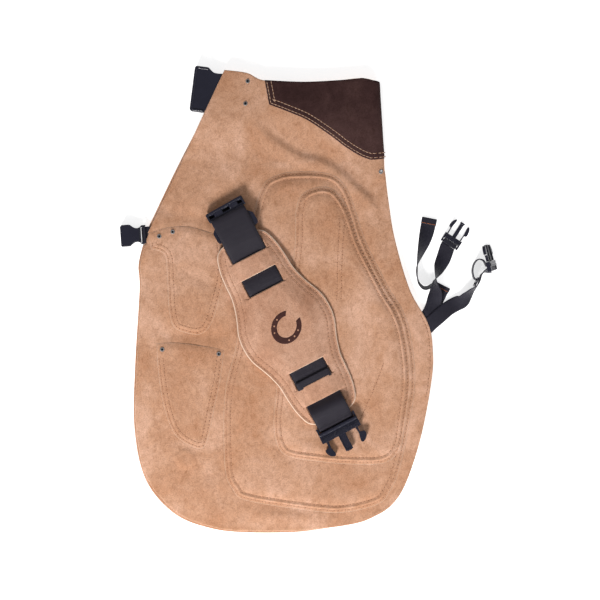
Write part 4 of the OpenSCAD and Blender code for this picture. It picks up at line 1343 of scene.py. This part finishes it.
def belt_strip(name, line_mm, start, *nodes):
    """Belt webbing along a line of (along, height), flat across the belt."""
    line = curve_through(mm(*line_mm), 2 * MM)
    centre = on_webbing(np.stack([line[:, 0], 0 * line[:, 0], line[:, 1]], 1))
    way = unit(np.gradient(centre, axis=0))
    side = on_webbing([(0, 1, 0)])[0] - on_webbing([(0, 0, 0)])[0]
    across = np.broadcast_to(side, way.shape)
    made = strip(name, centre, across, np.cross(way, across), BELT_WEB_WIDTH, WEB, BELT_WEB, start)
    assign(made, "waist_webbing", "belt", *nodes)


def add_belt_webbing():
    long_line = [
        (-171.4, 5.4), (-172, 8.2), (-171.4, 11.2), (-168.6, 13.1), (-164, 13.5), (-158, 13.4), (-148, 13),
        (-139, 12.3), (-128, 11), (-119, 8.6), (-112, 6.9), (-107, 6.2), (-100, WEB_LEVEL), (-88, WEB_LEVEL),
        (-82, 6.3), (-76, 7.6), (-69.5, 8.1), (-63, 7.6), (-57, 6.3), (-50, WEB_LEVEL), (0, WEB_LEVEL),
        (50, WEB_LEVEL), (57, 6.0), (69, 6.4), (82, 6.0), (96, WEB_LEVEL), (104, WEB_LEVEL), (108, 6.05),
        (112, 7.3), (117, 10.6), (123, 12.4), (132, 9.5), (138.5, 3.6)]
    belt_strip("belt_webbing_strap", long_line + around(-125, -20, 6), 0.0, "belt_webbing")
    tail_line = [
        (73, 8.1), (77, 8.2), (82, 7.7), (88, 7.55), (96, 7.55), (104, 7.55), (107.3, 7.62), (110, 8.9),
        (113, 11.6), (117, 14.2), (122, 15.5), (128, 14.6), (134, 11.4), (138.4, 9.2)]
    belt_strip("belt_webbing_tail", tail_line + around(98, -16, 6), 0.4, "belt_tail")
    belt_strip("belt_tail_hem", [(73, 9.4), (76, 9.5), (80, 9.3), (84, 9.1)], 0.7)


# ---- buckles, rivets and floor

def blocks(name, frame_of, boxes, body, material, rounding):
    """One moulded piece made of boxes (u0, u1, v0, v1, w0, w1), in millimetres of a buckle's own frame."""
    points, faces = [], []
    for u0, u1, v0, v1, w0, w1 in boxes:
        n = len(points)
        points += [(u, v, w) for w in (w0, w1) for v in (v0, v1) for u in (u0, u1)]
        faces += [tuple(n + i for i in f) for f in (
            (0, 2, 3, 1), (4, 5, 7, 6), (0, 1, 5, 4), (2, 6, 7, 3), (0, 4, 6, 2), (1, 3, 7, 5))]
    made = make_object(name, frame_of(mm(*points)), faces, [material], smooth_shade=False)
    soften(made, rounding * MM)
    return assign(made, "buckle_plastic", body)


def soften(made, width):
    rounding = made.modifiers.new("soft_edges", "BEVEL")
    rounding.width = width
    rounding.segments = 3
    rounding.limit_method = "ANGLE"
    rounding.angle_limit = math.radians(40)
    rounding.harden_normals = True


def on_female(points):
    """Points of the belt's female buckle: u from its bar end towards its mouth, v across, w up."""
    return on_webbing(at_height(turned(points[:, :2], math.radians(2)) + mm(-184, 0), points[:, 2]))


def on_male(points):
    """Points of the belt's male buckle: u from its bar towards the tongue."""
    return on_webbing(points + mm(143, 0, 2.4))


def on_waist_female(points):
    """Points of the waist's female buckle: u from its mouth, v across, w up from its underside."""
    flat = turned(points[:, :2], math.radians(-7.3)) + mm(-114.5, 283)
    return at_height(flat, points[:, 2] + 3.8 * MM)


def add_buckle_details():
    """Bars, ribs and lips moulded on the belt's and the waist's buckles, and a dark plate of painted shade in the belt
    female's windows.
    """
    for name, frame_of, body, material, rounding, boxes in (
        ("belt_female_ladder", on_female, "belt", BLACK_PLASTIC, 1.1, [
            (-0.3, 3.2, -27, 27, 2.2, 10.2), (0.4, 13, -27.6, -24.6, 2.2, 10.4),
            (0.4, 13, 24.6, 27.6, 2.2, 10.4), (8.4, 11, -26, 26, 4.4, 9.6),
            (2.6, 9, -17.5, -4.5, 4.2, 9.4), (2.6, 9, 5.5, 18.5, 4.2, 9.4)]),
        # painted shade: a near-black plate low in the female's windows stands in for the shade inside them
        ("belt_female_window_floor", on_female, "belt", HOLLOW_SHADE, 0.2, [(1.5, 9, -25, 25, 2.4, 3.4)]),
        ("belt_male_ridge", on_male, "belt_plug", BLACK_PLASTIC, 2.0, [(3.9, 9.0, -28.6, 28.6, 1.4, 11.0)]),
        ("belt_male_ribs", on_male, "belt_plug", BLACK_PLASTIC, 0.4, [
            (9.6, 18.2, -28.7, 28.7, 7.1, 8.8),
            *((u, u + 1, -27, 27, 8.4, 9.3) for u in (10.6, 12.6, 14.6, 16.6)),
            (18.4, 40.5, -5.2, -3.6, 4.2, 7.4), (18.4, 40.5, 3.6, 5.2, 4.2, 7.4),
            (39, 41.5, -5.2, 5.2, 2.2, 7.2)]),
        ("waist_female_lip", on_waist_female, "right_half", BLACK_PLASTIC, 1.3, [
            (1.6, 4.2, -27.5, 27.5, 9.6, 12.2), (3, 19, -29.9, -26.6, 8.4, 12.3),
            (3, 19, 26.6, 29.9, 8.4, 12.3)]),
        ("waist_female_sides", on_waist_female, "right_half", BLACK_PLASTIC, 1.1, [
            (2.5, 19, -30.3, -28, 2, 9.4), (2.5, 19, 28, 30.3, 2, 9.4)]),
    ):
        blocks(name, frame_of, boxes, body, material, rounding)


def finish_cad_node(name, material, bevel=0.0):
    """Gives a kept CAD node its material and soft edges."""
    node = NODES[name]
    node.data.materials.clear()
    node.data.materials.append(material)
    if bevel:
        soften(node, bevel)


def finish_hardware():
    for name in NODES:
        if "female" in name or "_male" in name or "prong" in name or "slider" in name:
            finish_cad_node(name, BLACK_PLASTIC, 0.45 * MM)
        elif "rivet" in name:
            finish_cad_node(name, RIVET_METAL, 0.12 * MM)
        elif "magnet" in name:
            finish_cad_node(name, MAGNET_METAL, 0.2 * MM)
        elif "loop" in name and "strap" not in name:
            finish_cad_node(name, LEG_WEB)


def add_rivet_centres():
    """A flat dark disc on each rivet's head: painted shade of the hollow in its middle."""
    for name, places, height in (
        ("waist", WAIST_RIVETS, UPPER_WAIST + YOKE), ("leg", LEG_RIVETS, UPPER_LEG + PATCH),
        ("pocket", POCKET_RIVETS, UPPER_LEG + PATCH),
    ):
        for i, (x, y) in enumerate(places):
            points, faces = disc(x, y, 1.55 * MM, height + 0.86 * MM, height + 0.3 * MM, 20)
            dot = make_object(f"{name}_rivet_{i + 1}_centre", points, faces, [HOLLOW_SHADE], smooth_shade=False)
            assign(dot, "rivet_metal", "right_half")


def add_floor():
    """One plain pale sheet under the object."""
    corners = [(x, y, CAD_BOX[0][2]) for x, y in ((-6, -6), (6, -6), (6, 6), (-6, 6))]
    paper = Shader("floor_paper", Roughness=0.9, Specular_IOR_Level=0.1, Emission_Strength=0.66)
    paper.principled.inputs["Emission Color"].default_value = (1, 1, 1, 1)
    grain = paper.noise(paper.coordinates(), 2.5, 2)
    paper.finish(paper.ramp(grain, [(0.2, (0.93, 0.93, 0.935)), (0.8, (0.96, 0.96, 0.962))]))
    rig.stage(make_object("floor", corners, [(0, 1, 2, 3)], [paper.material], smooth_shade=False))


add_camera()
add_leg_straps()
add_studio()
add_half(1)
add_half(-1)
add_pad()
add_pad_stitches()
add_pad_mark()
add_belt_webbing()
add_buckle_details()
finish_hardware()
add_rivet_centres()
add_floor()

with open("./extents.json", "w") as out:
    json.dump({"cad": [list(c) for c in CAD_BOX], "visual": [list(c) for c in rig.bounds()]}, out)
